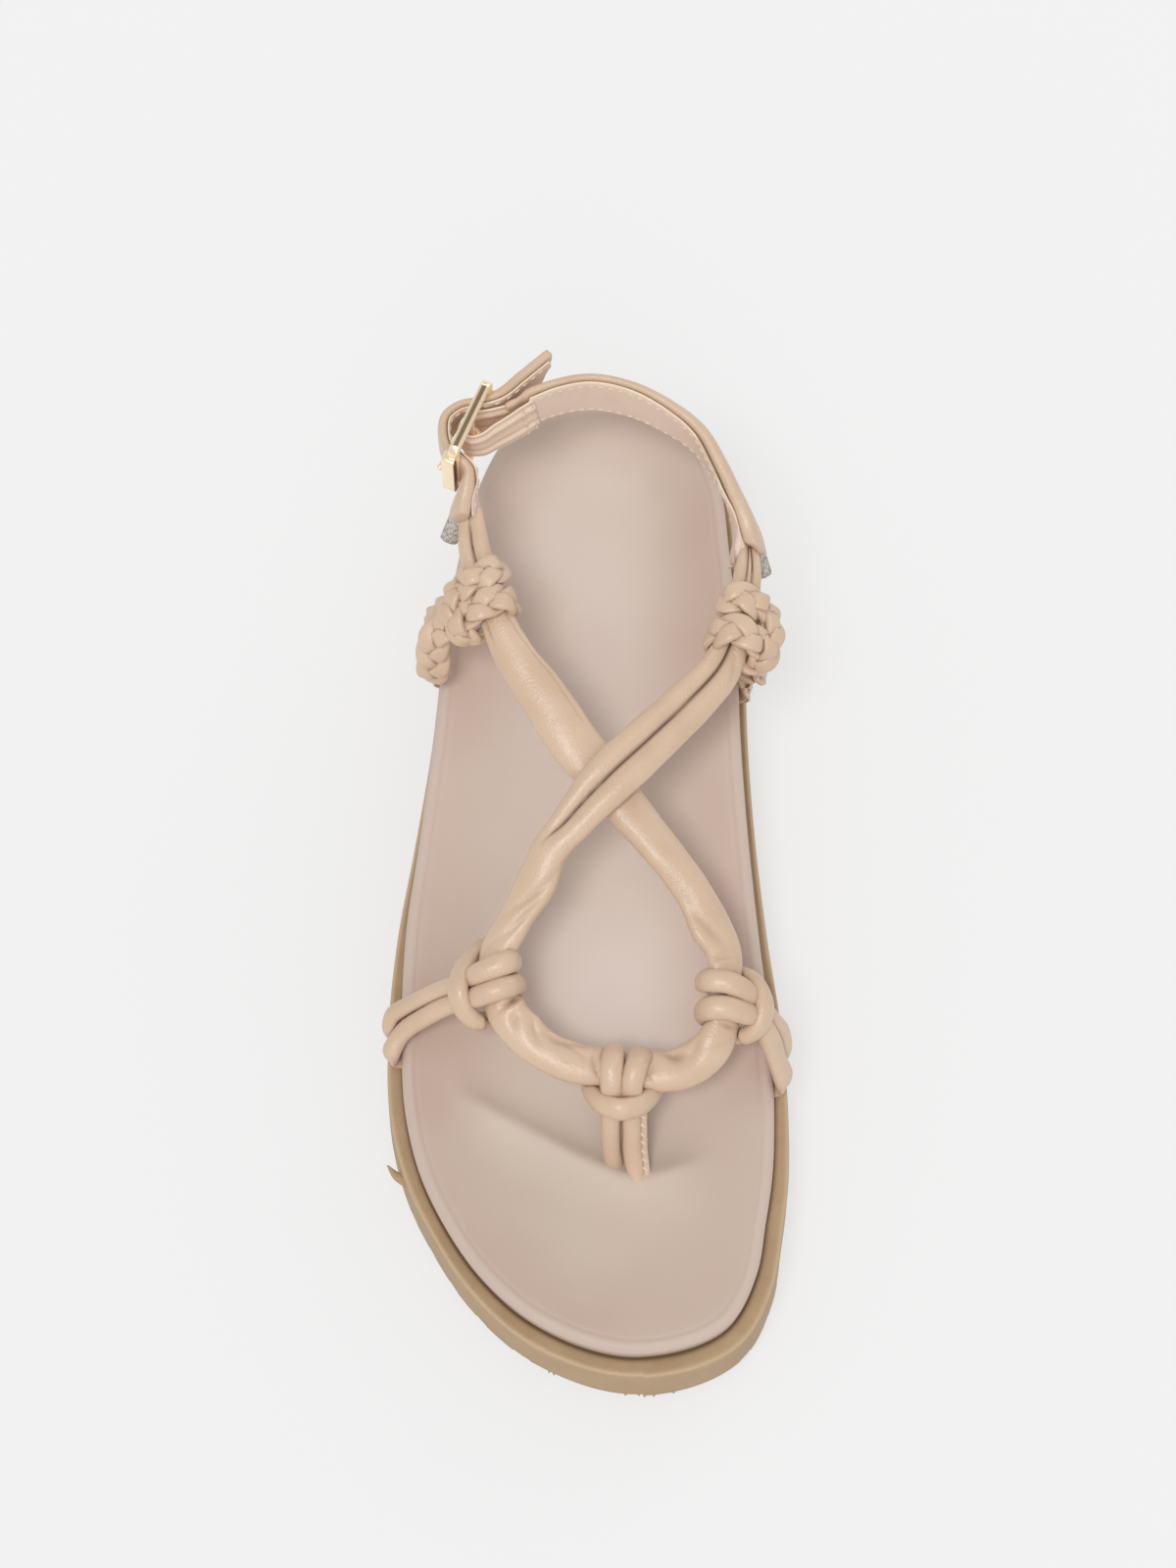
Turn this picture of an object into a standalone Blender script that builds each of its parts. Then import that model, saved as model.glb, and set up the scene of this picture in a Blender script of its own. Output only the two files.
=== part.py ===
"""Strappy knotted sandal for a right foot, standing empty on its sole.

The toe points along -Y, the big toe side (medial) is +X and the floor is z = 0. Tables are in millimetres and
every mesh is made in metres.
"""

import math

import bmesh
import bpy
import numpy as np

MM = 0.001
GAP = 0.3  # clearance between two pieces that meet

# Sole and footbed, one row for each section from the toe to the heel.
SECTION_COLUMNS = ("along", "lateral", "medial", "ledge", "sole_top", "rim_lateral", "rim_medial", "seat")
SECTIONS = (
    (-117.0, -13.7, 35.6, 4.6, 22.0, 7.0, 7.0, 4.6),
    (-105.0, -27.0, 41.6, 4.5, 21.2, 6.8, 6.8, 4.5),
    (-92.0, -35.8, 44.0, 4.4, 20.6, 6.6, 6.6, 4.4),
    (-80.0, -41.5, 45.8, 4.3, 20.2, 6.5, 6.5, 4.2),
    (-65.0, -45.4, 46.5, 4.2, 20.0, 6.5, 6.5, 4.0),
    (-42.0, -46.8, 45.7, 4.0, 20.4, 6.8, 7.2, 4.2),
    (-17.0, -46.0, 43.0, 3.1, 21.1, 7.4, 9.0, 4.9),
    (8.0, -42.7, 40.5, 2.5, 22.0, 8.4, 12.0, 6.0),
    (34.0, -39.4, 38.8, 2.3, 23.1, 9.8, 13.8, 6.6),
    (60.0, -36.7, 38.1, 2.3, 24.1, 11.8, 13.6, 6.2),
    (84.0, -32.9, 36.4, 2.3, 24.7, 13.2, 13.6, 5.6),
    (102.0, -28.2, 34.0, 2.5, 25.0, 13.6, 13.6, 5.4),
    (117.0, -19.9, 26.6, 3.0, 25.0, 13.4, 13.4, 5.6),
)
TOE_APEX = (13.0, -125.3)
HEEL_APEX = (3.2, 125.0)
SIDE_POINTS = 28  # outline points from the toe apex to the heel apex, on each side
END_DENSITY = 0.6  # how much closer the outline points are at toe and heel, from 0 to 1

# Outsole
WALL_FLARE = 0.3  # the wall stands out this far at its foot
WALL_MID_HEIGHT, WALL_MID_FLARE = 0.55, 0.3  # shares of the wall's height and flare at its middle ring
WALL_FOOT = 1.6  # height of the bevel at the wall's foot
WALL_BEVEL = 2.2
LEDGE_ROUND = 0.8
TOP_INSET = 12.0
TOE_SPRING = 6.5
TOE_LIFT_FROM = -70.0
TOE_CURVE = 1.8
HEEL_LIFT = 2.0
HEEL_LIFT_FROM = 116.0
ARCH_HEIGHT = 2.6
ARCH_FROM, ARCH_TO = 6.0, 50.0
SOLE_ENDS = (-131.0, 128.7)
LUG_PITCH = 9.0
LUG_GROOVE = 3.0
LUG_DEPTH = 2.2
LUG_REACH = 80.0  # half length of the cross grooves, past both sides
LUG_FIELDS = ((-122.0, 2.0), (57.0, 122.0))

# Footbed
RIM_ROUND = 2.8
WALL_TUCK = 0.4  # the footbed's wall leans in this far at its foot
BOWL_RINGS = (0.10, 0.24, 0.42, 0.60, 0.78)
BOWL_STEEP, BOWL_CURVE = 1.25, 1.3  # how soon and how sharply the bowl drops from its rim
SPINE_FROM_TOE, SPINE_FROM_HEEL = 34.0, 34.0
CREST_HEIGHT = 2.4  # ridge under the toes
CREST_WIDTH = 5.5
CREST_FADE = 10.0
CREST_LINE = ((-36.0, -57.0), (-15.0, -68.0), (1.0, -76.5), (11.0, -80.5), (22.0, -78.5), (33.0, -74.0))

# Main strap, from the medial heel strap over the foot, round the toe and back to the lateral buckle strap.
# Columns: place, x, y, z, half_width, half_thick
MAIN_STRAP = (
    ("medial tail end", 40.9, 68.4, 69.4, 4.6, 2.1),
    ("medial tail", 39.8, 62.5, 69.6, 4.4, 2.5),
    ("medial rear knot", 37.8, 53.5, 69.0, 4.2, 2.7),
    ("medial arm root", 32.4, 43.2, 67.5, 4.7, 2.8),
    ("medial arm", 24.0, 32.0, 66.9, 5.3, 2.9),
    ("over the crossing", 10.4, 17.9, 66.2, 5.5, 2.8),
    ("past the crossing", -2.4, 5.2, 63.4, 5.2, 2.8),
    ("lateral arm", -12.2, -6.8, 58.0, 4.9, 2.9),
    ("lateral arm foot", -19.4, -21.5, 51.6, 5.2, 2.9),
    ("lateral ball knot", -23.4, -36.0, 46.8, 4.3, 2.5),
    ("lateral bend", -20.6, -46.6, 44.6, 4.9, 2.8),
    ("lateral front", -9.8, -54.2, 43.2, 5.2, 2.9),
    ("toe knot", 8.9, -57.8, 42.5, 4.4, 2.5),
    ("medial front", 24.0, -56.8, 42.7, 5.2, 2.9),
    ("medial bend", 33.0, -51.2, 44.0, 4.8, 2.8),
    ("medial ball knot", 35.8, -39.5, 46.2, 4.3, 2.5),
    ("medial loop", 33.0, -25.0, 49.7, 5.2, 2.9),
    ("medial loop arm", 25.6, -9.8, 54.0, 5.5, 2.9),
    ("before the crossing", 17.0, 1.2, 58.0, 5.5, 2.8),
    ("under the crossing", 6.0, 14.2, 61.6, 5.6, 2.7),
    ("lateral rear arm", -9.8, 31.9, 64.4, 5.4, 2.8),
    ("lateral arm root", -18.6, 45.2, 66.0, 4.6, 2.8),
    ("lateral rear knot", -24.6, 58.8, 67.4, 4.2, 2.7),
    ("lateral tail", -28.6, 69.5, 69.2, 4.4, 2.4),
    ("lateral tail end", -30.4, 75.5, 70.1, 4.8, 1.7),
)
STRAP_MID_X = 4.0
STRAP_LEAN = 0.8  # degrees of outward lean for each millimetre away from the middle
STRAP_SIDES = 10
STEPS_PER_ROW = 3
PLUG_SCALE = 0.86  # the strap's second half starts inside the end of the first, under the toe knot

# Cords and braids, tied to the main strap with a lark's head knot.
# Columns: half widths of the ends, of the wraps round the strap and of the bight, half thickness
CORD = (2.2, 2.8, 2.5, 2.2)
BRAID = (2.6, 4.0, 2.5, 2.0)
# Columns: degrees round the strap from its outer edge over its top, share of the wrap's extra width
WRAPS = ((90, 1.0), (125, 1.0), (155, 1.0), (180, 0.8), (205, 0.5), (228, 0.2), (252, 0.0))
# Columns: distance along the ends' way out and above it in half thicknesses, share of the bight's half span
BIGHT = ((0.8, -0.4, 1.0), (0.4, 1.5, 0.92), (0.0, 2.1, 0.55))
UNDERSIDE = 0.55  # share of the strap's half width where the cord passes below it
OUTER_TURN = (1.10, 0.85)  # shares of the knot's reach and rise where a flat cord turns up again
END_UNDER, END_CLEAR = 0.9, 2.4  # where the ends pass the bight and come clear of it, in half thicknesses
MAX_LEAVE = 45  # the ends leave the strap at this angle or lower
CORD_SIDES = 8
KNOT_ROOM = 0.5  # added to the strap's half sizes inside a knot
CORD_STEPS, CORD_SAMPLES = 6, 64
KNOT_SLACK = 0.25
BEND_LENGTH = 30.0  # a run of this length takes as many samples as a radian of bend
POST_FOOT = (9.0, -77.2, 26.0)  # where the toe post meets the footbed
POST_STAGGER = 2.2  # the medial end of the toe post lies this much further forward
POST_BOW = (0.0, -0.8, 0.6)  # how far the post bows out half way down
POST_RISE, POST_CANT = 1.0, 0.5  # where it straightens above the footbed, and its slant below
TAB_THICK = 0.9  # half thickness of a cord's end, flattened between footbed and sole
TAB_BED = 0.25  # a tab's height above the gap between sole and footbed
# Columns: a tucked end's distance out of the footbed's wall, height above its tab, share of full thickness
TAB = ((-7.0, 0.0, 0.0), (-0.2, 0.0, 0.0), (1.9, 1.3, 0.12))
TAB_CLIMB, TAB_OVER, TAB_LEAN = 4.2, 0.3, 0.5  # height on the wall, height over the rim and lean there
POST_DEPTH = 2.4  # how far the toe post goes into the footbed

# Heel strap, from the medial tail to the seam of the buckle loop.
# Columns: x, y, z, half_height, half_thick, lean (inward tilt of its top edge in degrees)
HEEL_STRAP = (
    (41.3, 70.4, 69.0, 5.2, 1.8, 12.0),
    (38.9, 77.5, 69.6, 6.6, 2.0, 10.0),
    (36.7, 83.7, 70.6, 7.0, 2.0, 8.5),
    (33.4, 91.1, 72.0, 7.0, 2.0, 6.0),
    (28.7, 98.7, 73.5, 7.0, 2.0, 3.0),
    (20.2, 105.1, 74.5, 7.0, 2.0, 0.0),
    (10.1, 110.2, 75.0, 7.0, 2.0, 0.0),
    (0.0, 112.1, 75.1, 7.0, 2.0, 0.0),
    (-7.6, 110.6, 75.2, 7.0, 2.0, 0.0),
    (-15.5, 107.0, 75.2, 6.7, 1.9, 0.0),
)
BAND_STEPS = 3
BAND_CHAMFER = (0.75, 0.41)  # shares of its half height and half thickness where the edges' chamfers begin

# Buckle, in its own frame: along runs from the roller to the rear bar, out points away from the ankle.
BUCKLE_CENTRE = (-29.4, 99.1, 75.0)
BUCKLE_HEADING = (0.400, 0.916)
BUCKLE_HALF_LENGTH = 10.2
BUCKLE_HALF_HEIGHT = 11.0
BUCKLE_CORNER = 3.0
BUCKLE_WIRE = 1.1
BAR_RADIUS = 1.0
ROLLER_RADIUS = 1.7
ROLLER_BORE = 1.45
ROLLER_HALF_LENGTH = 7.6
PRONG_RADIUS = 0.85
PRONG_CLEAR = 0.5  # the prong's hole in the strap and its slot in the loop are this much wider all round
PRONG_REST = 0.35  # the prong lies this far off the roller
PRONG_TIP = (-12.6, 3.0)
PRONG_HOOK, PRONG_HOOK_POINTS = (-120, 100), 7  # degrees round the centre bar
HARDWARE_SIDES, WIRE_SIDES, CORNER_STEPS = 12, 8, 3

# Buckle strap and buckle loop in the buckle's frame, with the height above the floor.
# Columns: along, out, z, half_height, half_thick, lean
BUCKLE_STRAP = (
    (-21.2, -7.3, 70.5, 5.4, 1.5, 14.0),
    (-15.8, -5.9, 71.6, 6.1, 1.3, 8.0),
    (-10.0, -4.7, 72.8, 6.4, 1.2, 3.0),
    (-6.2, 0.4, 74.0, 6.4, 1.2, 0.0),
    (-2.6, 5.6, 74.8, 6.4, 1.2, 0.0),
    (1.6, 6.2, 75.2, 6.4, 1.2, 0.0),
    (5.8, 1.9, 75.5, 6.4, 1.2, 0.0),
    (10.4, -4.2, 76.0, 6.4, 1.2, -2.0),
    (17.0, -7.2, 76.8, 6.4, 1.2, -6.0),
    (24.8, -11.2, 78.0, 6.2, 1.1, -8.0),
)
# Columns: along, out
BUCKLE_LOOP = (
    (11.2, -8.5),
    (8.6, -7.2),
    (4.4, -4.0),
    (2.4, 0.4),
    (0.0, 2.3),
    (-2.4, 0.0),
    (-1.4, -3.2),
    (1.8, -7.8),
    (7.0, -11.4),
    (11.0, -11.0),
)
LOOP_HALF_HEIGHT = 5.6
LOOP_HALF_THICK = 0.7
LOOP_Z = 75.0

# Elastic that shows at the lower outer corner of each strap end: centre, and the way its long side points.
ELASTIC_SIZE = (1.6, 3.2, 5.2)
ELASTIC_FACE = (0.0, 1.0, -1.0)
ELASTIC_ENDS = {
    "elastic_end_lateral": ((-34.9, 75.4, 65.0), (0.50, 0.80, 0.36)),
    "elastic_end_medial": ((45.8, 67.2, 64.4), (-0.40, 0.84, 0.36)),
}

# Where the cord ends are tucked in between footbed and sole, front end and rear end.
TUCKS = {
    "lateral ball": (-48.6, -42.8),
    "medial ball": (-56.6, -48.4),
    "lateral rear": (53.6, 61.2),
    "medial rear": (46.4, 54.0),
}

# Columns: colour, metallic, roughness
FINISHES = {
    "foam": ((0.45, 0.32, 0.19), 0.0, 0.7),
    "footbed": ((0.62, 0.49, 0.41), 0.0, 0.6),
    "leather": ((0.66, 0.47, 0.32), 0.0, 0.5),
    "lining": ((0.68, 0.50, 0.40), 0.0, 0.6),
    "gold": ((0.83, 0.62, 0.33), 1.0, 0.25),
    "elastic": ((0.45, 0.43, 0.40), 0.0, 0.8),
}
SMOOTH_ANGLE = 40  # edges sharper than this many degrees stay sharp


# Tables and curves


def column(table, columns, name):
    """One named column of a table as an array."""
    place = columns.index(name)
    return np.array([row[place] for row in table], float)


def spline(knots, values, at):
    """Cubic through the values at the knots, with slopes from the neighbours."""
    knots, values, at = np.asarray(knots, float), np.asarray(values, float), np.asarray(at, float)
    slopes = np.gradient(values, knots, axis=0)
    i = np.clip(np.searchsorted(knots, at, side="right") - 1, 0, len(knots) - 2)
    span = knots[i + 1] - knots[i]
    t = (at - knots[i]) / span
    if values.ndim == 2:
        t, span = t[:, None], span[:, None]
    start = (1 + 2 * t) * (1 - t) ** 2 * values[i] + t * (1 - t) ** 2 * span * slopes[i]
    end = t**2 * (3 - 2 * t) * values[i + 1] + t**2 * (t - 1) * span * slopes[i + 1]
    return start + end


def unit(vectors):
    vectors = np.asarray(vectors, float)
    return vectors / np.linalg.norm(vectors, axis=-1, keepdims=True)


def chords(points):
    """Running length along a line of points."""
    return np.concatenate([[0.0], np.cumsum(np.linalg.norm(np.diff(points, axis=0), axis=1))])


def section(name, along):
    """A column of the sole's table at any place along the foot, level beyond the first and last row."""
    rows = column(SECTIONS, SECTION_COLUMNS, "along")
    return spline(rows, column(SECTIONS, SECTION_COLUMNS, name), np.clip(along, rows[0], rows[-1]))


def outline():
    """The footbed's outline: toe apex, lateral side, heel apex, medial side. Twice SIDE_POINTS points."""
    along = column(SECTIONS, SECTION_COLUMNS, "along")
    lateral = np.column_stack([column(SECTIONS, SECTION_COLUMNS, "lateral"), along])
    medial = np.column_stack([column(SECTIONS, SECTION_COLUMNS, "medial"), along])
    loop = np.vstack([[TOE_APEX], lateral, [HEEL_APEX], medial[::-1]])
    wrapped = np.vstack([loop[-3:], loop, loop[:4]])
    run = chords(wrapped)
    toe, heel, toe_again = run[3], run[3 + len(lateral) + 1], run[3 + len(loop)]
    steps = np.arange(SIDE_POINTS) / SIDE_POINTS
    steps = steps - END_DENSITY * np.sin(2 * math.pi * steps) / (2 * math.pi)
    at = np.concatenate([toe + (heel - toe) * steps, heel + (toe_again - heel) * steps])
    return spline(run, wrapped, at)


def outward(loop):
    """Outward normals of the outline, which runs clockwise seen from above."""
    ahead = np.roll(loop, -1, axis=0) - np.roll(loop, 1, axis=0)
    return unit(np.column_stack([-ahead[:, 1], ahead[:, 0]]))


def edge_point(side, along):
    """Point, outward normal and tangent of the outline at a place along one side of the foot."""
    width = section(side, np.array([along - 1.0, along, along + 1.0]))
    tangent = unit([width[2] - width[0], 2.0, 0.0])
    sign = -1.0 if side == "lateral" else 1.0
    normal = sign * np.array([tangent[1], -tangent[0], 0.0])
    return np.array([width[1], along, 0.0]), normal, tangent


# Meshes


def material(name):
    """The finish of this name, made once."""
    finish = bpy.data.materials.get(name)
    if finish is None:
        finish = bpy.data.materials.new(name)
        finish.use_nodes = True
        shader = finish.node_tree.nodes["Principled BSDF"]
        colour, metallic, roughness = FINISHES[name]
        shader.inputs["Base Color"].default_value = (*colour, 1.0)
        shader.inputs["Metallic"].default_value = metallic
        shader.inputs["Roughness"].default_value = roughness
    return finish


def add_object(name, points, faces, finish, cutter=False):
    """A named mesh object from points in millimetres."""
    mesh = bpy.data.meshes.new(name)
    mesh.from_pydata((np.asarray(points) * MM).tolist(), [], [list(face) for face in faces])
    shape = bmesh.new()
    shape.from_mesh(mesh)
    bmesh.ops.recalc_face_normals(shape, faces=shape.faces)
    shape.to_mesh(mesh)
    shape.free()
    mesh.materials.append(material(finish))
    mesh.shade_smooth()
    mesh.set_sharp_from_angle(angle=math.radians(SMOOTH_ANGLE))
    made = bpy.data.objects.new(name, mesh)
    bpy.context.scene.collection.objects.link(made)
    if cutter:
        made.hide_render = True
        made.display_type = "WIRE"
    return made


def combine(target, other, operation):
    """Joins another object to the target or cuts it away, and keeps that object as a hidden helper."""
    other.hide_render = True
    other.display_type = "WIRE"
    step = target.modifiers.new(f"{operation.lower()} {other.name}", "BOOLEAN")
    step.operation = operation
    step.solver = "EXACT"
    step.object = other


def pair_fill(start, count):
    """Faces that close a ring of an even number of points by joining its two sides across."""
    half = count // 2
    faces = [(start, start + 1, start + count - 1)]
    for i in range(1, half - 1):
        faces.append((start + i, start + i + 1, start + count - i - 1, start + count - i))
    faces.append((start + half - 1, start + half, start + half + 1))
    return faces


def stack_rings(rings):
    """Points and faces of a closed body through rings of equal length, the first and last closed across."""
    count = len(rings[0])
    faces = list(pair_fill(0, count))
    for level in range(len(rings) - 1):
        low, high = level * count, (level + 1) * count
        for i in range(count):
            j = (i + 1) % count
            faces.append((low + i, low + j, high + j, high + i))
    faces += pair_fill((len(rings) - 1) * count, count)
    return np.vstack(rings), faces


def ellipse(sides):
    turn = 2 * math.pi * (np.arange(sides) + 0.5) / sides
    return np.column_stack([np.cos(turn), np.sin(turn)])


def rounded_strip():
    """Cross-section of a flat strap: half sizes of one, with short chamfers at its four edges."""
    quarter = np.array([[1.0, BAND_CHAMFER[1]], [BAND_CHAMFER[0], 1.0]])
    turned = [quarter, quarter[::-1] * [-1, 1], quarter * [-1, -1], quarter[::-1] * [1, -1]]
    return np.vstack(turned)


def frames_along(path, across):
    """Tangent, width direction and thickness direction at every point of a path."""
    tangent = unit(np.gradient(path, axis=0))
    width = unit(across - tangent * np.sum(across * tangent, axis=1, keepdims=True))
    return tangent, width, np.cross(tangent, width)


def carried_across(path, first, last):
    """Width directions carried along a path without twist, then turned evenly to end on the last one."""
    tangent = unit(np.gradient(path, axis=0))
    width = [unit(first - tangent[0] * (first @ tangent[0]))]
    for here in tangent[1:]:
        width.append(unit(width[-1] - here * (width[-1] @ here)))
    width = np.array(width)
    goal = unit(last - tangent[-1] * (last @ tangent[-1]))
    if goal @ width[-1] < 0:
        goal = -goal
    miss = math.atan2(np.cross(width[-1], goal) @ tangent[-1], goal @ width[-1])
    run = chords(path)
    turn = (miss * run / run[-1])[:, None]
    return width * np.cos(turn) + np.cross(tangent, width) * np.sin(turn)


def sweep(path, across, halves, profile, grow=0.0):
    """Points and faces of a profile carried along a path, with flat ends. Grow makes it larger all round."""
    tangent, width, thick = frames_along(path, across)
    halves = np.asarray(halves) + grow
    path = path.copy()
    path[0] -= tangent[0] * grow
    path[-1] += tangent[-1] * grow
    rings = [
        p + np.outer(profile[:, 0] * h[0], w) + np.outer(profile[:, 1] * h[1], t)
        for p, h, w, t in zip(path, halves, width, thick)
    ]
    count, last = len(profile), len(path) - 1
    faces = [tuple(range(count)), tuple(last * count + i for i in range(count))]
    for level in range(last):
        for i in range(count):
            j = (i + 1) % count
            low, high = level * count, (level + 1) * count
            faces.append((low + i, low + j, high + j, high + i))
    return np.vstack(rings), faces


def smooth_rows(rows, steps):
    """A smooth line through rows of numbers, the first three a point, with steps samples from row to row."""
    rows = np.asarray(rows, float)
    knots = chords(rows[:, :3])
    at = np.interp(np.arange((len(rows) - 1) * steps + 1) / steps, np.arange(len(rows)), knots)
    return spline(knots, rows, at)


def even_bends(line, count):
    """Fewer samples of a line, closer together where it bends."""
    tangent = unit(np.gradient(line[:, :3], axis=0))
    bend = np.arccos(np.clip(np.sum(tangent[1:] * tangent[:-1], axis=1), -1, 1))
    effort = np.concatenate([[0.0], np.cumsum(bend + np.diff(chords(line[:, :3])) / BEND_LENGTH)])
    at = np.interp(np.linspace(0, effort[-1], count), effort, np.arange(len(line)))
    return spline(np.arange(len(line)), line, at)


# Sole and footbed


def ground(along):
    """Height of the sole's underside: flat heel and forefoot, hollow arch, lifted toe and heel."""
    toe = np.clip((TOE_LIFT_FROM - along) / (TOE_LIFT_FROM - SOLE_ENDS[0]), 0, 1)
    heel = np.clip((along - HEEL_LIFT_FROM) / (SOLE_ENDS[1] - HEEL_LIFT_FROM), 0, 1)
    arch = np.clip((along - ARCH_FROM) / (ARCH_TO - ARCH_FROM), 0, 1)
    return TOE_SPRING * toe**TOE_CURVE + HEEL_LIFT * heel**2 + ARCH_HEIGHT * np.sin(math.pi * arch) ** 2


def make_outsole():
    loop = outline()
    normal = outward(loop)
    ledge = section("ledge", loop[:, 1])

    def ring(offset, height):
        flat = loop + normal * np.reshape(offset, (-1, 1))
        return np.column_stack([flat, height(flat[:, 1])])

    def mid_height(along):
        return ground(along) + WALL_MID_HEIGHT * (section("sole_top", along) - ground(along))

    foot = ledge + WALL_FLARE
    rings = [
        ring(foot - WALL_BEVEL, ground),
        ring(foot, lambda y: ground(y) + WALL_FOOT),
        ring(ledge + WALL_FLARE * WALL_MID_FLARE, mid_height),
        ring(ledge, lambda y: section("sole_top", y) - LEDGE_ROUND),
        ring(ledge - LEDGE_ROUND, lambda y: section("sole_top", y)),
        ring(np.full(len(loop), -TOP_INSET), lambda y: section("sole_top", y)),
    ]
    sole = add_object("outsole", *stack_rings(rings), "foam")
    combine(sole, make_lug_cutter(), "DIFFERENCE")


def make_lug_cutter():
    """Cross grooves in the sole's underside, which leave the lugs between them."""
    points, faces = [], []
    for start, end in LUG_FIELDS:
        for along in np.arange(start, end, LUG_PITCH):
            y = np.array([along, along + LUG_GROOVE])
            roof = float(ground(y).max()) + LUG_DEPTH
            first = len(points)
            for z in (-LUG_REACH, roof):
                points += [(-LUG_REACH, y[0], z), (LUG_REACH, y[0], z)]
                points += [(LUG_REACH, y[1], z), (-LUG_REACH, y[1], z)]
            faces += [tuple(first + i for i in (0, 1, 2, 3)), tuple(first + i for i in (4, 5, 6, 7))]
            for i in range(4):
                j = (i + 1) % 4
                faces.append((first + i, first + j, first + j + 4, first + i + 4))
    return add_object("lug_cutter", points, faces, "foam", cutter=True)


def toe_crest(flat):
    """Height of the ridge under the toes at points of the footbed."""
    line = np.array(CREST_LINE)
    ridge = spline(line[:, 0], line[:, 1], np.clip(flat[:, 0], line[0, 0], line[-1, 0]))
    inside = np.clip(np.minimum(flat[:, 0] - line[0, 0], line[-1, 0] - flat[:, 0]) / CREST_FADE, 0, 1)
    return CREST_HEIGHT * inside * np.exp(-(((flat[:, 1] - ridge) / CREST_WIDTH) ** 2))


def make_footbed(cutters):
    loop = outline()
    normal = outward(loop)
    half = len(loop) // 2
    rim_name = np.where(np.arange(len(loop)) <= half, "rim_lateral", "rim_medial")
    rim = np.array([section(name, y) for name, y in zip(rim_name, loop[:, 1])])
    spine_y = np.clip(loop[:, 1], TOE_APEX[1] + SPINE_FROM_TOE, HEEL_APEX[1] - SPINE_FROM_HEEL)
    spine_x = (section("lateral", spine_y) + section("medial", spine_y)) / 2
    spine = np.column_stack([spine_x, spine_y])

    def ring(flat, height):
        return np.column_stack([flat, section("sole_top", flat[:, 1]) + height])

    def bowl(share):
        flat = (loop - normal * RIM_ROUND) * (1 - share) + spine * share
        sunk = math.sin(math.pi / 2 * min(1.0, share * BOWL_STEEP)) ** BOWL_CURVE
        height = rim * (1 - sunk) + section("seat", flat[:, 1]) * sunk + toe_crest(flat)
        return ring(flat, height)

    slope = 1 - math.sqrt(0.5)
    rings = [
        ring(loop - normal * WALL_TUCK, np.full(len(loop), GAP)),
        ring(loop, rim - RIM_ROUND),
        ring(loop - normal * RIM_ROUND * slope, rim - RIM_ROUND * slope),
        ring(loop - normal * RIM_ROUND, rim),
        *[bowl(share) for share in BOWL_RINGS],
    ]
    footbed = add_object("footbed", *stack_rings(rings), "footbed")
    for cutter in cutters:
        combine(footbed, cutter, "DIFFERENCE")


# Straps and knots


def strap_samples():
    """The main strap's rows as a smooth line, and its width directions."""
    rows = [row[1:] for row in MAIN_STRAP]
    line = smooth_rows(rows, STEPS_PER_ROW)
    lean = np.radians(STRAP_LEAN * (line[:, 0] - STRAP_MID_X))
    normal = np.column_stack([np.sin(lean), np.zeros(len(lean)), np.cos(lean)])
    tangent = unit(np.gradient(line[:, :3], axis=0))
    return line, np.cross(normal, tangent)


def strap_index(place):
    return [row[0] for row in MAIN_STRAP].index(place) * STEPS_PER_ROW


def make_main_strap():
    """Two halves that meet inside the toe knot, joined there and where the strap crosses itself."""
    line, across = strap_samples()
    middle = strap_index("toe knot")
    first = slice(0, middle + 1)
    second = slice(middle - 1, len(line))
    halves = line[:, 3:].copy()
    profile = ellipse(STRAP_SIDES)
    front = sweep(line[first, :3], across[first], halves[first], profile)
    strap = add_object("main_strap", *front, "leather")
    halves[middle - 1 : middle + 2] *= PLUG_SCALE
    back = sweep(line[second, :3], across[second], halves[second], profile)
    combine(strap, add_object("main_strap_half", *back, "leather"), "UNION")


def knot_frame(place, towards):
    """Where a knot sits on the main strap: the strap's own line counted from the knot, the directions towards
    the sole and off the foot, and the strap's half sizes with room for its bend."""
    line, across = strap_samples()
    i = strap_index(place)
    along, side, _ = (rows[i] for rows in frames_along(line[:, :3], across))
    off = np.cross(along, side)
    off = off if off[2] > 0 else -off
    side = side if side @ (np.asarray(towards) - line[i, :3]) > 0 else -side
    run = chords(line[:, :3])

    def strap_at(distance):
        return np.array([np.interp(run[i] + distance, run, line[:, axis]) for axis in range(3)])

    return strap_at, side, off, line[i, 3:] + KNOT_ROOM


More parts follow.
